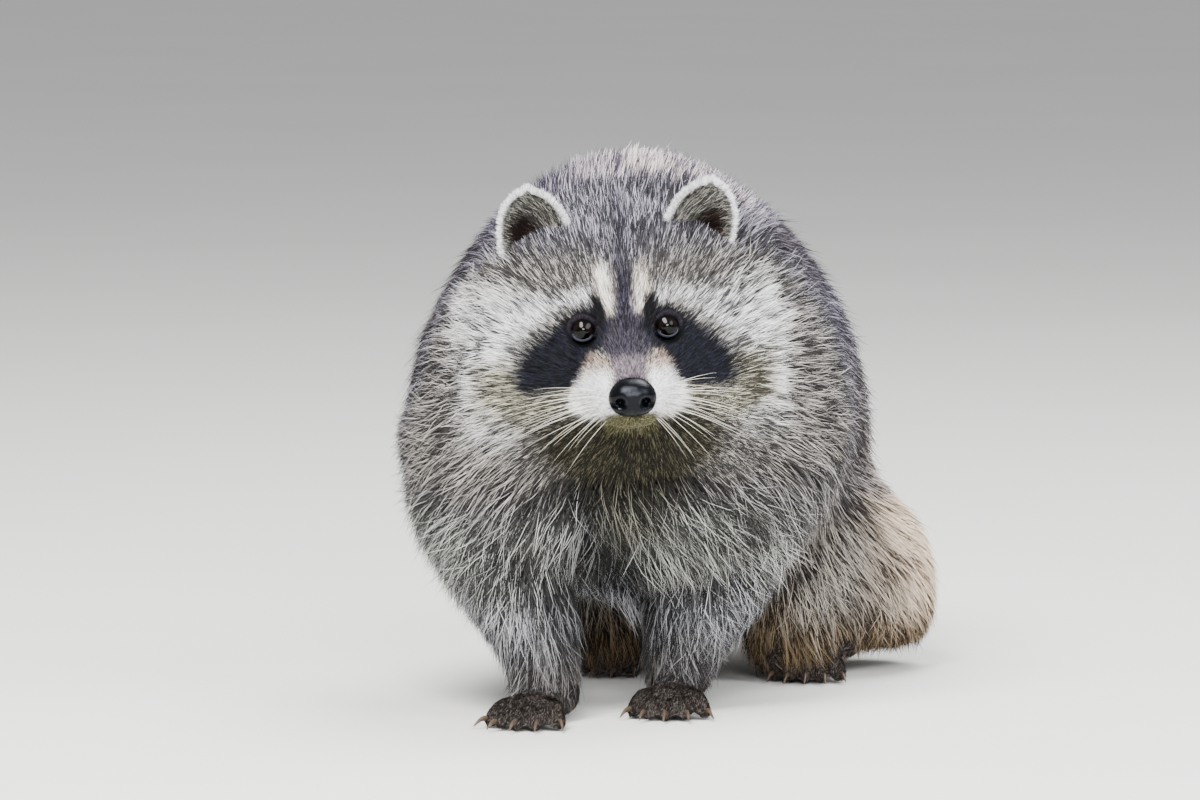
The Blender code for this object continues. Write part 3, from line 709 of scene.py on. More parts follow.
def add_ear(bm, side):
    """A thin cupped shell; returns its vertices' places and the fields of its hair."""
    foot, top = ear_ends(side)
    axis = unit(top - foot)
    turn = math.radians(EAR_TURN)
    facing = np.array((math.sin(turn) * side, -math.cos(turn), 0))
    facing = unit(facing - (facing @ axis) * axis)
    outer_way = np.cross(axis, facing) * side
    length = np.linalg.norm(top - foot)
    last = EAR_GRID - 1
    rows, grids = [], []
    for layer in (0, 1):
        grid = []
        for r in range(EAR_GRID):
            share = math.sin(math.pi / 2 * r / last) * 0.995
            half = np.interp(share * (len(EAR_HALF_WIDTHS) - 1), range(len(EAR_HALF_WIDTHS)),
                             EAR_HALF_WIDTHS) * math.sqrt(1 - share ** 5)
            line = []
            for c in range(EAR_GRID):
                u = math.sin((c / last - 0.5) * math.pi)
                bowl = EAR_CUP * (1 - u * u) * (1 - 0.75 * share * share)
                wall = EAR_WALL * math.sqrt(max(0.04, 1 - u ** 8)) * (1 - 0.3 * share)
                fold = 1.6 * math.exp(-((u + 0.62) / 0.16) ** 2) * ramp(share, 0.75, 0.2)
                back = bowl + (0.6 if layer else 0.6 + wall) - (fold if layer else 0)
                rise = length * share - 1.5 * u * u * share - 3 * u * (1 - share)
                spot = foot + axis * rise + outer_way * half * u - facing * (back - 1.5)
                line.append(bm.verts.new(from_head(spot)))
                rows.append((share, u * half / EAR_HALF_WIDTHS[3], layer, axis, outer_way,
                             abs(u) > 0.999 or r == last))
            grid.append(line)
        grids.append(grid)
    outer, inner = grids

    def face(*corners):
        bm.faces.new(corners[::side])

    for r in range(last):
        for c in range(last):
            face(outer[r][c], outer[r + 1][c], outer[r + 1][c + 1], outer[r][c + 1])
            face(inner[r][c], inner[r][c + 1], inner[r + 1][c + 1], inner[r + 1][c])
        face(outer[r][0], inner[r][0], inner[r + 1][0], outer[r + 1][0])
        face(outer[r][last], outer[r + 1][last], inner[r + 1][last], inner[r][last])
    for c in range(last):
        face(outer[-1][c], inner[-1][c], inner[-1][c + 1], outer[-1][c + 1])
        face(outer[0][c], outer[0][c + 1], inner[0][c + 1], inner[0][c])
    return rows


def part_toes(points, outward):
    """Presses grooves between the toes: the claws fan out from a point inside each paw."""
    points = points / MM
    for paw in (name for name in FLESH if "paw" in name):
        claws = "claw_" + paw.replace("_paw", "")
        ends = np.array([box_middle(name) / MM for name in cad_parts
                         if name.startswith(claws)])[:, :2]
        ahead = unit(ends.mean(0) - np.array(box_middle(paw) / MM)[:2])
        aside = np.array((ahead[1], -ahead[0]))
        fan = ends.mean(0) - ahead * TOE_LENGTH
        angles = np.arctan2((ends - fan) @ aside, (ends - fan) @ ahead)
        order = np.argsort(angles)
        away = points[:, :2] - fan
        reach = np.linalg.norm(away, axis=1)
        angle = np.arctan2(away @ aside, away @ ahead)
        toe = np.interp(angle, angles[order], np.arange(len(ends)))
        gap = np.gradient(angles[order]).mean() * reach * np.abs(toe - np.floor(toe) - 0.5)
        within_fan = (toe > 0) & (toe < len(ends) - 1) & (reach < TOE_LENGTH + 14)
        groove = np.exp(-(gap / GROOVE_HALF_WIDTH) ** 2) * within_fan
        groove *= ramp(reach, 0.35 * TOE_LENGTH, 0.75 * TOE_LENGTH) * ramp(points[:, 2], 30, 20)
        points = points - outward * (GROOVE_DEPTH * groove)[:, None]
    return points * MM


def make_skin():
    """The one skin with lids and ears, and every field that the coat reads from it."""
    mesh = envelope_mesh()
    pairs = read(mesh.edges, "vertices", 2, np.int32)
    points = coordinates(mesh)
    weights = region_weights([Vector(p) for p in points], pairs)
    part = by_region(weights)
    soft = (0.5 * (1 - 0.75 * (part["forepaw"] + part["hindpaw"])))[:, None]
    points = spread(points, pairs, 8, soft)
    write(mesh.vertices, "co", points)
    mesh.update()
    outward = unit(spread(read(mesh.vertices, "normal", 3).astype(float), pairs, 6))
    points = part_toes(points, outward)

    fields = spread(coat_fields(points, outward, weights), pairs, 4)
    flow = hair_flow(points, outward, weights, pairs)
    skin = spread(points - outward * fields[:, [0]] * MM, pairs, 5, soft)
    skin = shape_face(skin, weights)
    fields[:, 3] *= bare_places(points, outward)
    solid = BVHTree.FromPolygons([Vector(p) for p in points],
                                 [tuple(face.vertices) for face in mesh.polygons])

    write(mesh.vertices, "co", skin)
    mesh.update()
    bm = opened(mesh)
    surface = BVHTree.FromBMesh(bm)
    body_count = len(points)
    for side in (1, -1):
        add_lids(bm, surface, side)
    ears = [(len(bm.verts), add_ear(bm, side)) for side in (1, -1)]
    bmesh.ops.triangulate(bm, faces=bm.faces)
    closed(bm, mesh)

    total = len(mesh.vertices)
    skin = coordinates(mesh)
    normals = read(mesh.vertices, "normal", 3).astype(float)

    def longer(values, more=0.0):
        """The body's rows, then those of the lids and the ears."""
        rest = np.zeros((total - body_count, values.shape[1])) + more
        return np.vstack([values, rest])

    data = {
        "skin": skin,
        "envelope": longer(points, skin[body_count:]),
        "outward": longer(outward, normals[body_count:]),
        "flow": longer(flow),
        "fields": longer(fields),
        "weights": longer(weights, [name == "head" for name in REGIONS]),
        "ear": np.zeros((total, 5)),
        "free": np.arange(total)[:, None] >= body_count,
    }
    for start, rows in ears:
        ear_fields(data, start, rows)
    lid_fields(data, slice(body_count, ears[0][0]))
    return mesh, data, solid


def lid_fields(data, lids):
    """The lids' short hair: it leaves the eye and turns into the face's own lie."""
    spots = to_head(data["skin"][lids])
    near_eye, over_eye = eye_distance(spots)
    nearer = np.where(spots[:, [0]] > 0, EYES[1], EYES[-1])
    share = ramp(near_eye, 10.5, 7.5)[:, None]
    way = (unit(spots - FLOW_SOURCE) * (1 - share) + unit(spots - nearer) * share) @ HEAD_AXES.T
    out = data["outward"][lids]
    data["flow"][lids] = unit(way - dot(way, out) * out)
    data["fields"][lids] = LID_HAIR
    bare = 5.5 - 0.3 * ramp(over_eye, 0, -3)
    data["fields"][lids, 3] *= ramp(near_eye, bare, bare + 0.6) * ramp(near_eye, 11.3, 10.3)


def bare_places(points, outward):
    """1 where hair grows; 0 in the eye openings, under the nose pad and on the soles."""
    spots = to_head(points)
    near_eye, _ = eye_distance(spots)
    grows = ramp(near_eye, 8.6, 9.8)
    pad = np.linalg.norm((spots - NOSE) / (12.6, 9.2, 9.6), axis=1)
    grows *= ramp(pad, 0.92, 1.06)
    sole = ramp(-outward[:, 2], 0.5, 0.8) * ramp(points[:, 2] / MM, 9, 4)
    return grows * (1 - sole)


def ear_fields(data, start, rows):
    """The hair on one ear: short on the back, long across the cup, a dense white fringe round."""
    spots = data["skin"][start:start + len(rows)] / MM
    edge = [i for i, row in enumerate(rows) if row[5]]
    away_from_edge = np.linalg.norm(spots[:, None] - spots[edge][None], axis=2).min(1)
    reach = np.array([EAR_RIM if row[2] else 3.0 * EAR_RIM for row in rows])
    rims = ramp(away_from_edge, reach + 1.0, reach)
    for offset, (height, across, inner, axis, outer_way, _) in enumerate(rows):
        i = start + offset
        rim = rims[offset]
        low = ramp(height, 0.0, 0.12)
        away = axis * max(height - 0.30, -0.1) + outer_way * across * 0.75
        if inner:
            sweep = axis * 0.6 + outer_way * (0.55 + 0.5 * across)
            away = sweep * (1 - rim) + away * rim
        way = unit(away) @ HEAD_AXES.T
        outward = data["outward"][i]
        data["flow"][i] = unit(way - (way @ outward) * outward * (1 - 0.85 * rim))
        length = min(5 + 8 * inner, 2 + 0.8 * away_from_edge[offset]) * (1 - rim) + 3.6 * rim
        data["fields"][i] = (1.2, length, 0.34, (3.2 + 8 * rim) * low, 2.0, 0.30, 0.2 + 0.2 * rim)
        data["ear"][i] = (1, height, across, inner, rim * low)
        data["envelope"][i] = data["skin"][i]
        data["weights"][i] = 0


UNWRAP_ANGLE = 66
UNWRAP_GAP = 0.003


def unwrap(mesh):
    """An unwrap of the skin's own shape, named OFBake; returns the UV of every loop."""
    item = new_object("unwrapping", mesh)
    bpy.context.view_layer.objects.active = item
    item.select_set(True)
    mesh.uv_layers.new(name="OFBake")
    bpy.ops.object.mode_set(mode="EDIT")
    bpy.ops.mesh.select_all(action="SELECT")
    bpy.ops.uv.smart_project(angle_limit=math.radians(UNWRAP_ANGLE), island_margin=UNWRAP_GAP)
    bpy.ops.object.mode_set(mode="OBJECT")
    bpy.data.objects.remove(item)
    return read(mesh.uv_layers["OFBake"].data, "uv", 2).astype(float)


def set_colours(mesh, colours):
    layer = mesh.color_attributes.new(name="coat_colour", type="FLOAT_COLOR", domain="POINT")
    write(layer.data, "color", np.hstack([colours, np.ones((len(colours), 1))]))


# ---------------- the coat

# Shares of a hair's length unless they say otherwise
LENGTH_SPREAD = (0.75, 1.1)
LAST_GAP = 0.8                # tips further than this from the body are cut short
BACKWARD_GAP = 0.25           # the same for tips past an edge, where the body faces away
LONGEST_REACH = 1.15          # a tip that would cross over to another limb is cut short
CUT_SHORT = 0.5
STRAY_SHARE = 0.12            # of all hairs, that stand off the coat by up to 0.15 of their length
BEND_ALONG = 0.22             # where the bend is: along the coat's lie
BEND_OUT = 0.85               # and outwards, of the coat's depth
LOCK_REACH = 12               # millimetres within which a lock's tips draw together


def plant(mesh, data, uv, rng):
    """Evenly scattered hairs, as many as the fields ask for, with what each finds at its root."""
    mesh.calc_loop_triangles()
    corners = read(mesh.loop_triangles, "vertices", 3, np.int32)
    loops = read(mesh.loop_triangles, "loops", 3, np.int32)
    a, b, c = (data["envelope"][corners[:, i]] / MM for i in range(3))
    areas = np.linalg.norm(np.cross(b - a, c - a), axis=1) / 2
    expected = np.cumsum(areas * data["fields"][corners, 3].mean(1))
    number = int(expected[-1])
    picks = (np.arange(number) + rng.random(number)) * expected[-1] / number
    chosen = np.minimum(np.searchsorted(expected, picks), len(corners) - 1)
    r, s = np.sqrt(rng.random(number)), rng.random(number)
    shares = np.stack([1 - r, r * (1 - s), r * s], 1)[:, :, None]
    hairs = {key: (values[corners[chosen]] * shares).sum(1) for key, values in data.items()}
    hairs["outward"], hairs["flow"] = unit(hairs["outward"]), unit(hairs["flow"])
    hairs["uv"] = (uv[loops[chosen]] * shares).sum(1)
    return hairs


def comb(hairs, solid, rng):
    """Bends each hair along the coat's lie and brings its tip back onto the envelope."""
    root, surface, outward = hairs["skin"], hairs["envelope"], hairs["outward"]
    depth, _, _, _, _, _, loose = hairs["fields"].T
    length = hairs["length"]
    number = len(length)
    chest = ramp(-outward[:, 1], 0.3, 0.8) * ramp(length, 20, 32)
    sway = (rng.normal(0, 1, number) * loose * (1 + 0.6 * chest))[:, None]
    way = unit(hairs["flow"] + np.cross(outward, hairs["flow"]) * sway)
    along = np.sqrt(np.maximum(length ** 2 - depth ** 2, (0.45 * length) ** 2))
    target = surface + way * (along * MM)[:, None]
    under = rng.random(number) ** 1.6 * 0.55 * depth
    stray = np.where(rng.random(number) < STRAY_SHARE, rng.uniform(0.3, 1.5, number), 0)
    stray = stray * length * 0.10
    tip = target.copy()
    free = hairs["free"][:, 0] > 0.5
    for i in np.flatnonzero(~free):
        spot, normal, _, _ = solid.find_nearest(target[i])
        gap, reach = ((spot - Vector(end[i])).length / (length[i] * MM)
                      for end in (target, surface))
        facing = normal.dot(Vector(outward[i]))
        if reach > LONGEST_REACH or gap > (LAST_GAP if facing > 0 else BACKWARD_GAP):
            tip[i] = surface[i] + (target[i] - surface[i]) * CUT_SHORT
        elif facing > 0:
            tip[i] = spot + normal * ((stray[i] - under[i]) * MM)
            tip[i] += (target[i] - tip[i]) * (STAND_OFF * min(max(gap - 0.12, 0) * 4, 1))
    lift = ramp(surface[:, 2] / MM, 235, 275) * ramp(-surface[:, 1] / MM, 60, 110) * 0.16 * length
    tip += outward * (lift * rng.uniform(0.2, 1, number) * MM)[:, None]
    tip[free] += outward[free] * (rng.uniform(0.2, 1.4, (free.sum(), 1)) * MM)
    bend = root + outward * (BEND_OUT * depth * MM)[:, None]
    bend = bend + way * (along * BEND_ALONG * MM)[:, None]
    wave = rng.normal(0, 1, (number, 1)) * (length * (0.08 + 0.08 * chest) * MM)[:, None]
    return tip, bend + np.cross(outward, way) * wave


def gather(hairs, tip, bend, rng):
    """Draws the hairs into locks, each towards its nearest leader, and keeps them off the floor."""
    surface = hairs["envelope"]
    _, _, _, density, lock, strength, _ = hairs["fields"].T
    number = len(surface)
    leaders = np.flatnonzero(rng.random(number) < 1 / np.maximum(density * lock ** 2, 1.01))
    tree = KDTree(len(leaders))
    for k, i in enumerate(leaders):
        tree.insert(surface[i], k)
    tree.balance()
    owner = leaders[[tree.find(spot)[1] for spot in surface]]
    pull = (strength * rng.uniform(0.45, 1.0, number))[:, None]
    pull = pull * (np.linalg.norm(tip[owner] - tip, axis=1, keepdims=True) < LOCK_REACH * MM)
    tip = tip + (tip[owner] - tip) * pull
    bend = bend + (bend[owner] - bend) * pull * 0.35
    for places in (tip, bend):
        places[:, 2] = np.maximum(places[:, 2], OFF_FLOOR * MM)
    return tip, bend, leaders, owner


def grow_coat(mesh, data, uv, solid):
    """Every hair of the coat as arrays: where it starts, bends and ends, its width and colours."""
    rng = np.random.default_rng(SEED)
    hairs = plant(mesh, data, uv, rng)
    number = len(hairs["uv"])
    hairs["length"] = length = hairs["fields"][:, 1] * rng.uniform(*LENGTH_SPREAD, number)
    root, surface, outward = hairs["skin"], hairs["envelope"], hairs["outward"]
    tip, bend, leaders, owner = gather(hairs, *comb(hairs, solid, rng), rng)

    # The markings are read from where the hair shows rather than from where it is rooted
    shown = root * 0.10 + bend * 0.35 + tip * 0.55
    ragged = rng.normal(0, 1, (number, 3)) * 0.6 + rng.normal(0, 1, (number, 3))[owner] * 0.7
    shown = shown + ragged * np.minimum(length * 0.11, 4.5)[:, None] * MM
    finish = markings(shown, outward, hairs["weights"], hairs["ear"])
    dark, light = finish[:, 0:3], finish[:, 3:6]

    # Each lock is a little lighter or darker than the next
    owned = np.zeros(number)
    owned[leaders] = [noise.noise(Vector(surface[i]) / (22 * MM)) for i in leaders]
    lock_tone = (rng.normal(0, 0.26, number) + owned * 0.50)[owner] * ramp(length, 4, 14)
    pale = rng.random(number) < finish[:, 6] * (1 + 2 * lock_tone)
    mix = np.where(pale, rng.uniform(0.62, 1.05, number), rng.uniform(0.0, 0.12, number))[:, None]
    tone = rng.normal(1, 0.09, number).clip(0.7, 1.3)[:, None]
    colour = (dark * (1 - mix) + light * mix) * tone
    tipped = (rng.random(number) < finish[:, 7])[:, None]
    # Untipped hairs are a little lighter at the tip and long hairs much darker towards the root:
    # painted shade deep in the coat, over the hairs' own darker bases
    tip_colour = np.where(tipped, dark * 0.6, colour * 1.10)
    deep = np.interp(length, (4, 12, 30), (0.9, 0.4, 0.0))[:, None]
    root_colour = dark * (0.35 + 0.6 * deep) + colour * 0.05
    mid_colour = colour * (0.22 + 0.70 * deep) + dark * 0.30 * (1 - deep)
    colour = colour * (0.72 + 0.28 * deep)

    part = np.argmax(hairs["weights"], axis=1)
    part[hairs["ear"][:, 0] > 0.5] = len(REGIONS)
    return {
        "root": root, "bend": bend, "tip": tip, "outward": outward, "uv": hairs["uv"],
        "width": hairs["fields"][:, 2] * np.where(pale, 0.88, 1.15),
        "part": part, "guard": pale & (length >= SHORT_HAIR),
        "colours": np.stack([root_colour, mid_colour, colour, tip_colour], 1).clip(0, 1),
    }


BLADE_TURN = 0.9                 # how far blades turn about their own length, in radians
BLADE_FOOT = 0.8                 # width at the root, as a share of the full width
BLADE_TAPER = 0.45
UV_PATCH = 0.003                 # each hair has this much of the UV map, where it is rooted
SHADE_STEPS = (0, 0.35, 0.7, 1)  # where along a hair its four colours are


def hair_mesh(name, hairs, chosen, steps):
    """The chosen hairs as one mesh of tapered blades with the given steps along them."""
    rng = np.random.default_rng(SEED + len(chosen))
    root, bend, tip = (hairs[key][chosen] for key in ("root", "bend", "tip"))
    outward, width = hairs["outward"][chosen], hairs["width"][chosen]
    number = len(chosen)
    way = unit(tip - root)
    side = unit(np.cross(way, outward))
    turn = rng.uniform(-BLADE_TURN, BLADE_TURN, number)[:, None]
    side = unit(side * np.cos(turn) + np.cross(way, side) * np.sin(turn))
    shades = hairs["colours"][chosen]
    points, uvs, colours = [], [], []
    for t in steps:
        spot = root * (1 - t) ** 2 + bend * 2 * t * (1 - t) + tip * t * t
        half = (width * (1.0 - BLADE_TAPER * t if t else BLADE_FOOT) * 0.5 * MM)[:, None]
        tint = np.interp(t, SHADE_STEPS, range(4))
        low = min(int(tint), 2)
        shade = shades[:, low] * (1 - (tint - low)) + shades[:, low + 1] * (tint - low)
        for sign in ((-1, 1) if t < 1 else (0,)):
            points.append(spot + side * half * sign)
            colours.append(shade)
            uvs.append(hairs["uv"][chosen] + np.array((sign * UV_PATCH / 2, (t - 0.5) * UV_PATCH)))
    each = len(points)
    points, colours, uvs = (np.stack(rows, 1) for rows in (points, colours, uvs))

    # Quads up the blade and a triangle at its tip
    quads = len(steps) - 2
    flat = [2 * k + i for k in range(quads) for i in (0, 1, 3, 2)] + [each - 3, each - 2, each - 1]
    sizes = [4] * quads + [3]
    base = np.arange(number)[:, None]
    corners = (base * each + np.array(flat)).ravel()

    mesh = bpy.data.meshes.new(name)
    mesh.vertices.add(number * each)
    write(mesh.vertices, "co", points)
    mesh.loops.add(len(corners))
    write(mesh.loops, "vertex_index", corners, np.int32)
    mesh.polygons.add(number * len(sizes))
    starts = base * len(flat) + np.arange(len(sizes)) * 4
    write(mesh.polygons, "loop_start", starts, np.int32)
    write(mesh.polygons, "loop_total", np.tile(sizes, number), np.int32)
    layer = mesh.uv_layers.new(name="OFBake")
    write(layer.data, "uv", uvs.reshape(-1, 2)[corners])
    set_colours(mesh, colours.reshape(-1, 3))
    mesh.update()
    mesh.shade_smooth()
    return mesh


PIECE_NAMES = ("head", "neck", "trunk", "forelegs", "forepaws", "haunches", "hind_paws", "tail",
               "ears")


def make_coat(hairs, material):
    """The coat's pieces, region by region, each of about PIECE_TRIANGLES triangles at most."""
    for part, name in enumerate(PIECE_NAMES):
        mine = np.flatnonzero(hairs["part"] == part)
        for guard in (False, True):
            group = mine[hairs["guard"][mine] == guard]
            steps = SHADE_STEPS if guard else (0, 0.5, 1)
            pieces = math.ceil(len(group) * (2 * len(steps) - 3) / PIECE_TRIANGLES)
            order = group[np.argsort(hairs["root"][group, 0], kind="stable")]
            for number, chosen in enumerate(np.array_split(order, pieces) if pieces else ()):
                label = f"coat_{name}_{'guard' if guard else 'under'}_{number + 1}"
                item = new_object(label, hair_mesh(label, hairs, chosen, steps), material)
                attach(item, "root")


# ---------------- eyes, nose, claws, whiskers

def make_eye(side, material):
    """An eyeball with a domed cornea; the attribute holds the angle from its line of sight."""
    name = "eye_left" if side > 0 else "eye_right"
    bm = bmesh.new()
    bmesh.ops.create_uvsphere(bm, u_segments=64, v_segments=48, radius=1)
    gaze, across, up = eye_axes(side)
    angles = []
    for vertex in bm.verts:
        x, y, z = vertex.co
        angle = math.degrees(math.acos(max(-1.0, min(1.0, z))))
        angles.append(angle)
        radius = EYE_RADIUS - 0.1 + 0.55 * ramp(angle, 42, 10)
        vertex.co = from_head(EYES[side] + (across * x + up * y + gaze * z) * radius)
    bmesh.ops.recalc_face_normals(bm, faces=bm.faces)
    mesh = closed(bm, name + "_ball")
    mesh.attributes.new("from_sight", "FLOAT", "POINT").data.foreach_set("value", angles)
    mesh.shade_smooth()
    item = new_object(name + "_ball", mesh, material)
    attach(item, "root")
    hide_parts(name)


NOSE_DROP = 0.9               # the pad hangs this much lower than its node's middle


def make_nose(material):
    """The nose pad: square-shouldered, with comma-shaped nostrils and a groove down its middle."""
    bm = bmesh.new()
    bmesh.ops.create_uvsphere(bm, u_segments=128, v_segments=96, radius=1)
    for vertex in bm.verts:
        x, y, z = vertex.co
        x, z = (math.copysign(abs(v) ** 0.76, v) for v in (x, z))
        taper = 1 - 0.12 * max(0.0, -z) ** 2 - 0.20 * max(0.0, z) ** 1.5
        depth = y + 0.16 * max(0.0, z) ** 2 * (y < 0)
        if y < 0.2:
            side = abs(x)
            bowl = math.exp(-((side - 0.52) / 0.21) ** 2 - ((z + 0.18) / 0.24) ** 2)
            slit = math.exp(-((side - 0.78) / 0.20) ** 2 - ((z + 0.32) / 0.13) ** 2)
            rim = math.exp(-((side - 0.50) / 0.34) ** 2 - ((z + 0.16) / 0.46) ** 2)
            groove = math.exp(-(x / 0.045) ** 2) * ramp(z, 0.25, -0.25)
            depth += 0.66 * max(bowl, 0.7 * slit) - 0.08 * rim + 0.09 * groove
        spot = np.array((x * taper, depth, z)) * NOSE_HALF
        vertex.co = from_head(NOSE + spot - (0, 0, NOSE_DROP))
    bmesh.ops.recalc_face_normals(bm, faces=bm.faces)
    mesh = closed(bm, "nose_pad")
    mesh.shade_smooth()
    item = new_object("nose_pad", mesh, material)
    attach(item, "root")
    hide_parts("nose")


CLAW_ROUNDING = 2


def make_claws(material):
    """All claws, rounded from their nodes."""
    names = sorted(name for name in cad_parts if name.startswith("claw_"))
    bm = opened(*(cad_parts[name].data for name in names))
    bmesh.ops.remove_doubles(bm, verts=bm.verts, dist=SAME_SPOT)
    mesh = closed(bm, "claws")
    mesh.shade_smooth()
    item = new_object("claws_raw", mesh)
    rounding = item.modifiers.new("round", "SUBSURF")
    rounding.levels = rounding.render_levels = CLAW_ROUNDING
    claws = new_object("claws", evaluated(item), material)
    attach(claws, "root")
    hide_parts(*names)


# Whiskers: rows from the upper lip's edge upwards. Height and place along the muzzle where a row
# starts, whiskers in it, length, and how they spread: out, back and down
WHISKER_ROWS = (
    (-25, -42, 3, 46, (0.95, 0.42, -0.12)),
    (-28, -45, 4, 60, (0.95, 0.36, 0.00)),
    (-31, -46, 5, 64, (0.93, 0.32, 0.12)),
    (-34, -45, 5, 58, (0.90, 0.30, 0.28)),
    (-37, -42, 4, 46, (0.80, 0.28, 0.45)),
    (-40, -38, 3, 34, (0.62, 0.25, 0.66)),
)
WHISKER_STEP = 3.6
WHISKER_THICKNESS = 0.22
WHISKER_POINTS = 9


def whisker_paths(surface):
    """Polylines for all whiskers with their radius as a share of the root's."""
    rng = np.random.default_rng(SEED + 5)
    bm = bmesh.new()
    thickness = bm.verts.layers.float.new("taper")
    for side in (1, -1):
        for up, ahead, number, length, way in WHISKER_ROWS:
            for k in range(number):
                start = from_head((side * 60, ahead + k * WHISKER_STEP, up + rng.normal(0, 0.5)))
                hit = surface.ray_cast(Vector(start), Vector(HEAD_AXES @ (-side, 0, 0)), 0.08)[0]
                if hit is None:
                    continue
                root = to_head(np.array(hit))
                out, back, down = np.array(way) + rng.normal(0, 0.07, 3)
                heading = unit(np.array((side * out, back, -down)))
                reach = length * rng.uniform(0.75, 1.1) * (1 - 0.06 * k)
                last = None
                for t in np.linspace(0, 1, WHISKER_POINTS):
                    sag = np.array((-side * 0.05, 0.10, -0.16)) * t * t * reach
                    vertex = bm.verts.new(from_head(root + heading * (t * reach - 0.8) + sag))
                    vertex[thickness] = (1 - t) ** 0.7 + 0.12
                    if last:
                        bm.edges.new((last, vertex))
                    last = vertex
    return closed(bm, "whisker_paths")


def whisker_tree(material):
    """Geometry nodes that turn the paths into tapered round hairs."""
    tree = bpy.data.node_groups.new("round_hairs", "GeometryNodeTree")
    face = tree.interface
    face.new_socket("Geometry", in_out="INPUT", socket_type="NodeSocketGeometry")
    thick = face.new_socket("Thickness", in_out="INPUT", socket_type="NodeSocketFloat")
    face.new_socket("Geometry", in_out="OUTPUT", socket_type="NodeSocketGeometry")
    source = add_node(tree, "NodeGroupInput")
    curves = add_node(tree, "GeometryNodeMeshToCurve", {"Mesh": source.outputs["Geometry"]})
    taper = add_node(tree, "GeometryNodeInputNamedAttribute", {"Name": "taper"})
    half = add_node(tree, "ShaderNodeMath", {0: source.outputs["Thickness"], 1: 0.5},
                    operation="MULTIPLY")
    ring = add_node(tree, "GeometryNodeCurvePrimitiveCircle",
                    {"Resolution": 5, "Radius": half.outputs["Value"]})
    tube = add_node(tree, "GeometryNodeCurveToMesh",
                    {"Curve": curves.outputs["Curve"], "Profile Curve": ring.outputs["Curve"],
                     "Scale": taper.outputs["Attribute"], "Fill Caps": True})
    real = add_node(tree, "GeometryNodeRealizeInstances", {"Geometry": tube.outputs["Mesh"]})
    dressed = add_node(tree, "GeometryNodeSetMaterial",
                       {"Geometry": real.outputs["Geometry"], "Material": material})
    add_node(tree, "NodeGroupOutput", {"Geometry": dressed.outputs["Geometry"]})
    return tree, thick.identifier


def make_whiskers(skin_mesh, material):
    bed = opened(skin_mesh)
    item = new_object("whisker_source", whisker_paths(BVHTree.FromBMesh(bed)))
    bed.free()
    nodes = item.modifiers.new("round_hairs", "NODES")
    nodes.node_group, thick = whisker_tree(material)
    nodes[thick] = WHISKER_THICKNESS * MM
    mesh = evaluated(item)
    mesh.shade_smooth()
    whiskers = new_object("whiskers", mesh)
    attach(whiskers, "root")


# ---------------- materials

def colour_bands(tree, shader, factor, *stops):
    """Colours the shader by a ramp over the factor; each stop is a position and its colour."""
    bands = add_node(tree, "ShaderNodeValToRGB", {"Fac": factor})
    elements = bands.color_ramp.elements
    while len(elements) < len(stops):
        elements.new(0.5)
    for element, (position, code) in zip(elements, stops):
        element.position = position
        element.color = (*linear(code), 1)
    tree.links.new(bands.outputs["Color"], shader.inputs["Base Color"])


def raised(tree, shader, height, strength, distance):
    """Fine relief from the height."""
    bump = add_node(tree, "ShaderNodeBump",
                    {"Height": height, "Strength": strength, "Distance": distance})
    tree.links.new(bump.outputs["Normal"], shader.inputs["Normal"])


def coat_coloured(tree, shader, place, scale, detail, dark, bright):
    """The mesh's own colours under a fine noise between two brightnesses; returns the noise."""
    own = add_node(tree, "ShaderNodeAttribute", attribute_name="coat_colour")
    grain = add_node(tree, "ShaderNodeTexNoise",
                     {"Vector": place, "Scale": scale, "Detail": detail})
    shade = add_node(tree, "ShaderNodeMapRange",
                     {"Value": grain.outputs["Fac"], "To Min": dark, "To Max": bright})
    tinted = add_node(tree, "ShaderNodeVectorMath",
                      {0: own.outputs["Color"], 1: shade.outputs["Result"]}, operation="MULTIPLY")
    tree.links.new(tinted.outputs["Vector"], shader.inputs["Base Color"])
    return grain.outputs["Fac"]


def two_toned(name, roughness, scale, dark, pale, **plain):
    """A material that wanders between two close tones."""
    material, tree, shader, place = new_material(name, roughness, **plain)
    cloud = add_node(tree, "ShaderNodeTexNoise", {"Vector": place, "Scale": scale})
    colour_bands(tree, shader, cloud.outputs["Fac"], (0, dark), (1, pale))
    return material, tree, shader, place


def guard_hair():
    """Keratin hair, matt with a soft gloss along it; its colour is each hair's own."""
    material, tree, shader, place = new_material("guard_hair", 0.6, ior=1.45, specular=0.12)
    coat_coloured(tree, shader, place, 220.0, 2.0, 0.82, 1.18)
    return material


def furred_skin():
    """Skin under short down: it carries the coat's own markings and a fine nap."""
    material, tree, shader, place = new_material("furred_skin", 0.9, specular=0.12)
    nap = coat_coloured(tree, shader, place, 1400.0, 3.0, 0.6, 1.3)
    raised(tree, shader, nap, 0.5, 0.0004)
    return material


def wet_eye():
    """A dark brown eye under a wet cornea: black pupil, deep brown iris, near-black white."""
    material, tree, shader, _ = new_material("wet_eye", 0.05, ior=1.376, specular=0.24)
    angle = add_node(tree, "ShaderNodeAttribute", attribute_name="from_sight")
    share = add_node(tree, "ShaderNodeMath", {0: angle.outputs["Fac"], 1: 1 / 90},
                     operation="MULTIPLY")
    colour_bands(tree, shader, share.outputs["Value"],
                 (0.0, "#010101"), (0.24, "#010101"), (0.29, "#090504"), (0.42, "#0f0806"),
                 (0.50, "#030202"), (0.70, "#0c0a0a"))
    return material


def nose_leather():
    """Bare black nose skin: fine pebbles about 0.5 mm across, moist and softly shiny."""
    # The blue specular tint is painted sky colour in the nose's reflections
    material, tree, shader, place = two_toned("nose_leather", 0.22, 260.0, "#010102", "#050507",
                                              specular=0.16, tint=(0.80, 0.86, 1.0, 1))
    pebbles = add_node(tree, "ShaderNodeTexVoronoi", {"Vector": place, "Scale": 1900.0})
    raised(tree, shader, pebbles.outputs["Distance"], 0.35, 0.0002)
    return material


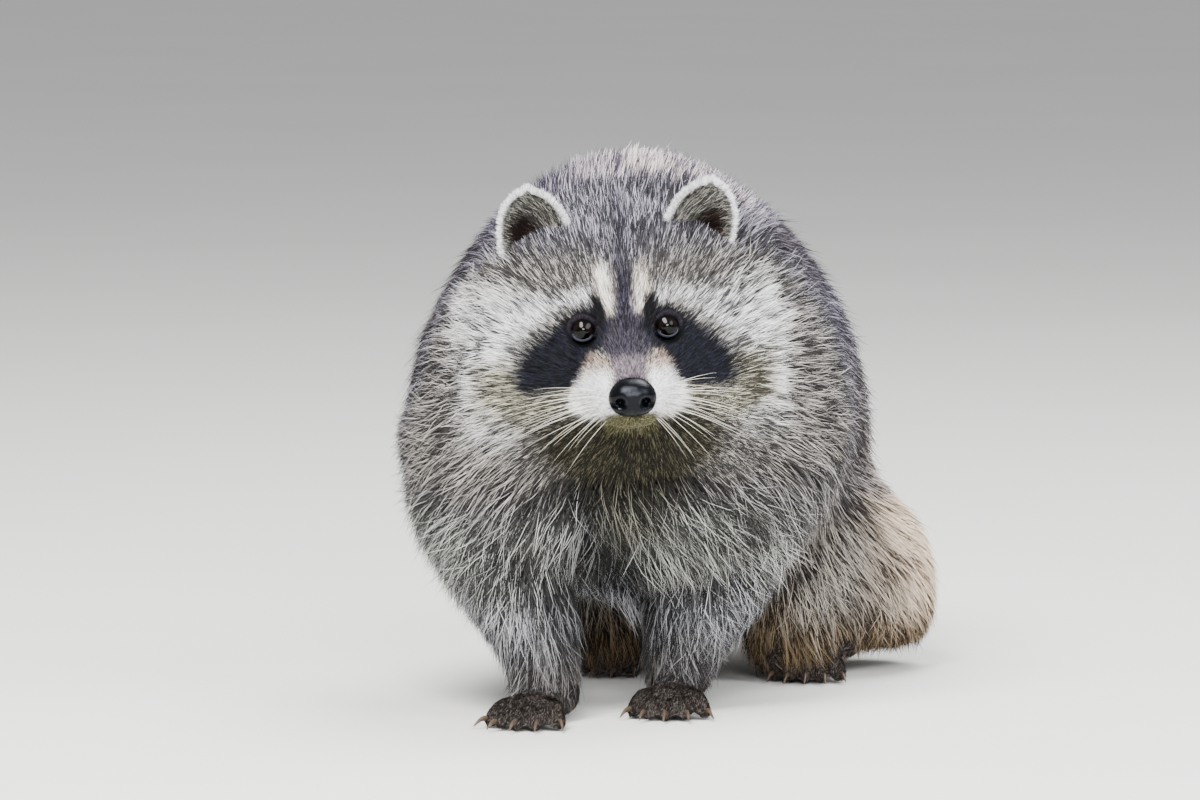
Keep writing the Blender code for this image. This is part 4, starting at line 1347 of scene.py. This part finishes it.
def claw_horn():
    """Dark horn, smooth and a little glossy, faintly streaked."""
    return two_toned("claw_horn", 0.35, 500.0, "#231c17", "#5c4c3e")[0]


def whisker_keratin():
    """Stiff, smooth, cream-white keratin, faintly streaked."""
    return two_toned("whisker_keratin", 0.4, 150.0, "#d9d2be", "#f7f4e9")[0]


def studio_floor():
    """A pale matt studio floor."""
    return two_toned("studio_floor", 0.9, 3.0, "#d9d8d4", "#e2e1dd")[0]


# ---------------- studio

CAMERA_AIM = (5.15, -251.4, 169.6)
CAMERA_AZIMUTH = 14
CAMERA_ELEVATION = 5
CAMERA_DISTANCE = 5.0
CAMERA_LENS = 288.5
SENSOR_WIDTH = 36
LIT_SPOT = (0, -0.15, 0.15)
FLOOR_HALF = 40
ROOM_COLOUR = "#e8ebee"
ROOM_LIGHT = 0.68
# Round soft lights: azimuth, elevation, distance, width, power and tint
LIGHTS = {
    "key": (-8, 50, 2.6, 1.3, 165, (1.0, 0.99, 0.975)),
    "front": (18, 20, 3.0, 1.2, 110, (1.0, 0.99, 0.98)),
    "fill": (64, 34, 2.8, 1.6, 56, (0.95, 0.97, 1.0)),
    "top": (150, 64, 2.4, 1.6, 80, (0.97, 0.98, 1.0)),
}


def look_from(azimuth, elevation):
    a, e = math.radians(azimuth), math.radians(elevation)
    return Vector((math.sin(a) * math.cos(e), -math.cos(a) * math.cos(e), math.sin(e)))


def add_light(name, azimuth, elevation, distance, size, power, tint):
    light = bpy.data.lights.new(name, "AREA")
    light.shape = "DISK"
    light.size = size
    light.energy = power
    light.color = tint
    item = bpy.data.objects.new(name, light)
    bpy.context.scene.collection.objects.link(item)
    way = look_from(azimuth, elevation)
    item.location = Vector(LIT_SPOT) + way * distance
    item.rotation_euler = way.to_track_quat("Z", "Y").to_euler()


def make_studio():
    camera = bpy.data.objects.new("camera", bpy.data.cameras.new("camera"))
    bpy.context.scene.collection.objects.link(camera)
    way = look_from(CAMERA_AZIMUTH, CAMERA_ELEVATION)
    camera.location = Vector(CAMERA_AIM) * MM + way * CAMERA_DISTANCE
    camera.rotation_euler = way.to_track_quat("Z", "Y").to_euler()
    camera.data.lens = CAMERA_LENS
    camera.data.sensor_width = SENSOR_WIDTH
    bpy.context.scene.camera = camera

    bm = bmesh.new()
    bmesh.ops.create_grid(bm, x_segments=1, y_segments=1, size=FLOOR_HALF)
    mesh = closed(bm, "floor")
    new_object("floor", mesh, studio_floor())

    for name, settings in LIGHTS.items():
        add_light(name, *settings)
    world = bpy.data.worlds.new("studio")
    world.use_nodes = True
    back = world.node_tree.nodes["Background"]
    back.inputs["Color"].default_value = (*linear(ROOM_COLOUR), 1)
    back.inputs["Strength"].default_value = ROOM_LIGHT
    bpy.context.scene.world = world


# ---------------- putting it together

make_studio()
skin_mesh, skin_data, solid_tree = make_skin()
skin_uv = unwrap(skin_mesh)
skin_finish = markings(skin_data["skin"], skin_data["outward"], skin_data["weights"],
                       skin_data["ear"])
skin_share = skin_finish[:, [6]] * SKIN_PALENESS
set_colours(skin_mesh,
            skin_finish[:, 0:3] * (1 - skin_share) + skin_finish[:, 3:6] * skin_share)
skin_mesh.shade_smooth()
skin = new_object("skin", skin_mesh, furred_skin())
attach(skin, "root")
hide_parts(*FLESH, "ear_left", "ear_right")

hair = grow_coat(skin_mesh, skin_data, skin_uv, solid_tree)
make_coat(hair, guard_hair())
eye_material = wet_eye()
for direction in (1, -1):
    make_eye(direction, eye_material)
make_nose(nose_leather())
make_whiskers(skin_mesh, whisker_keratin())
make_claws(claw_horn())
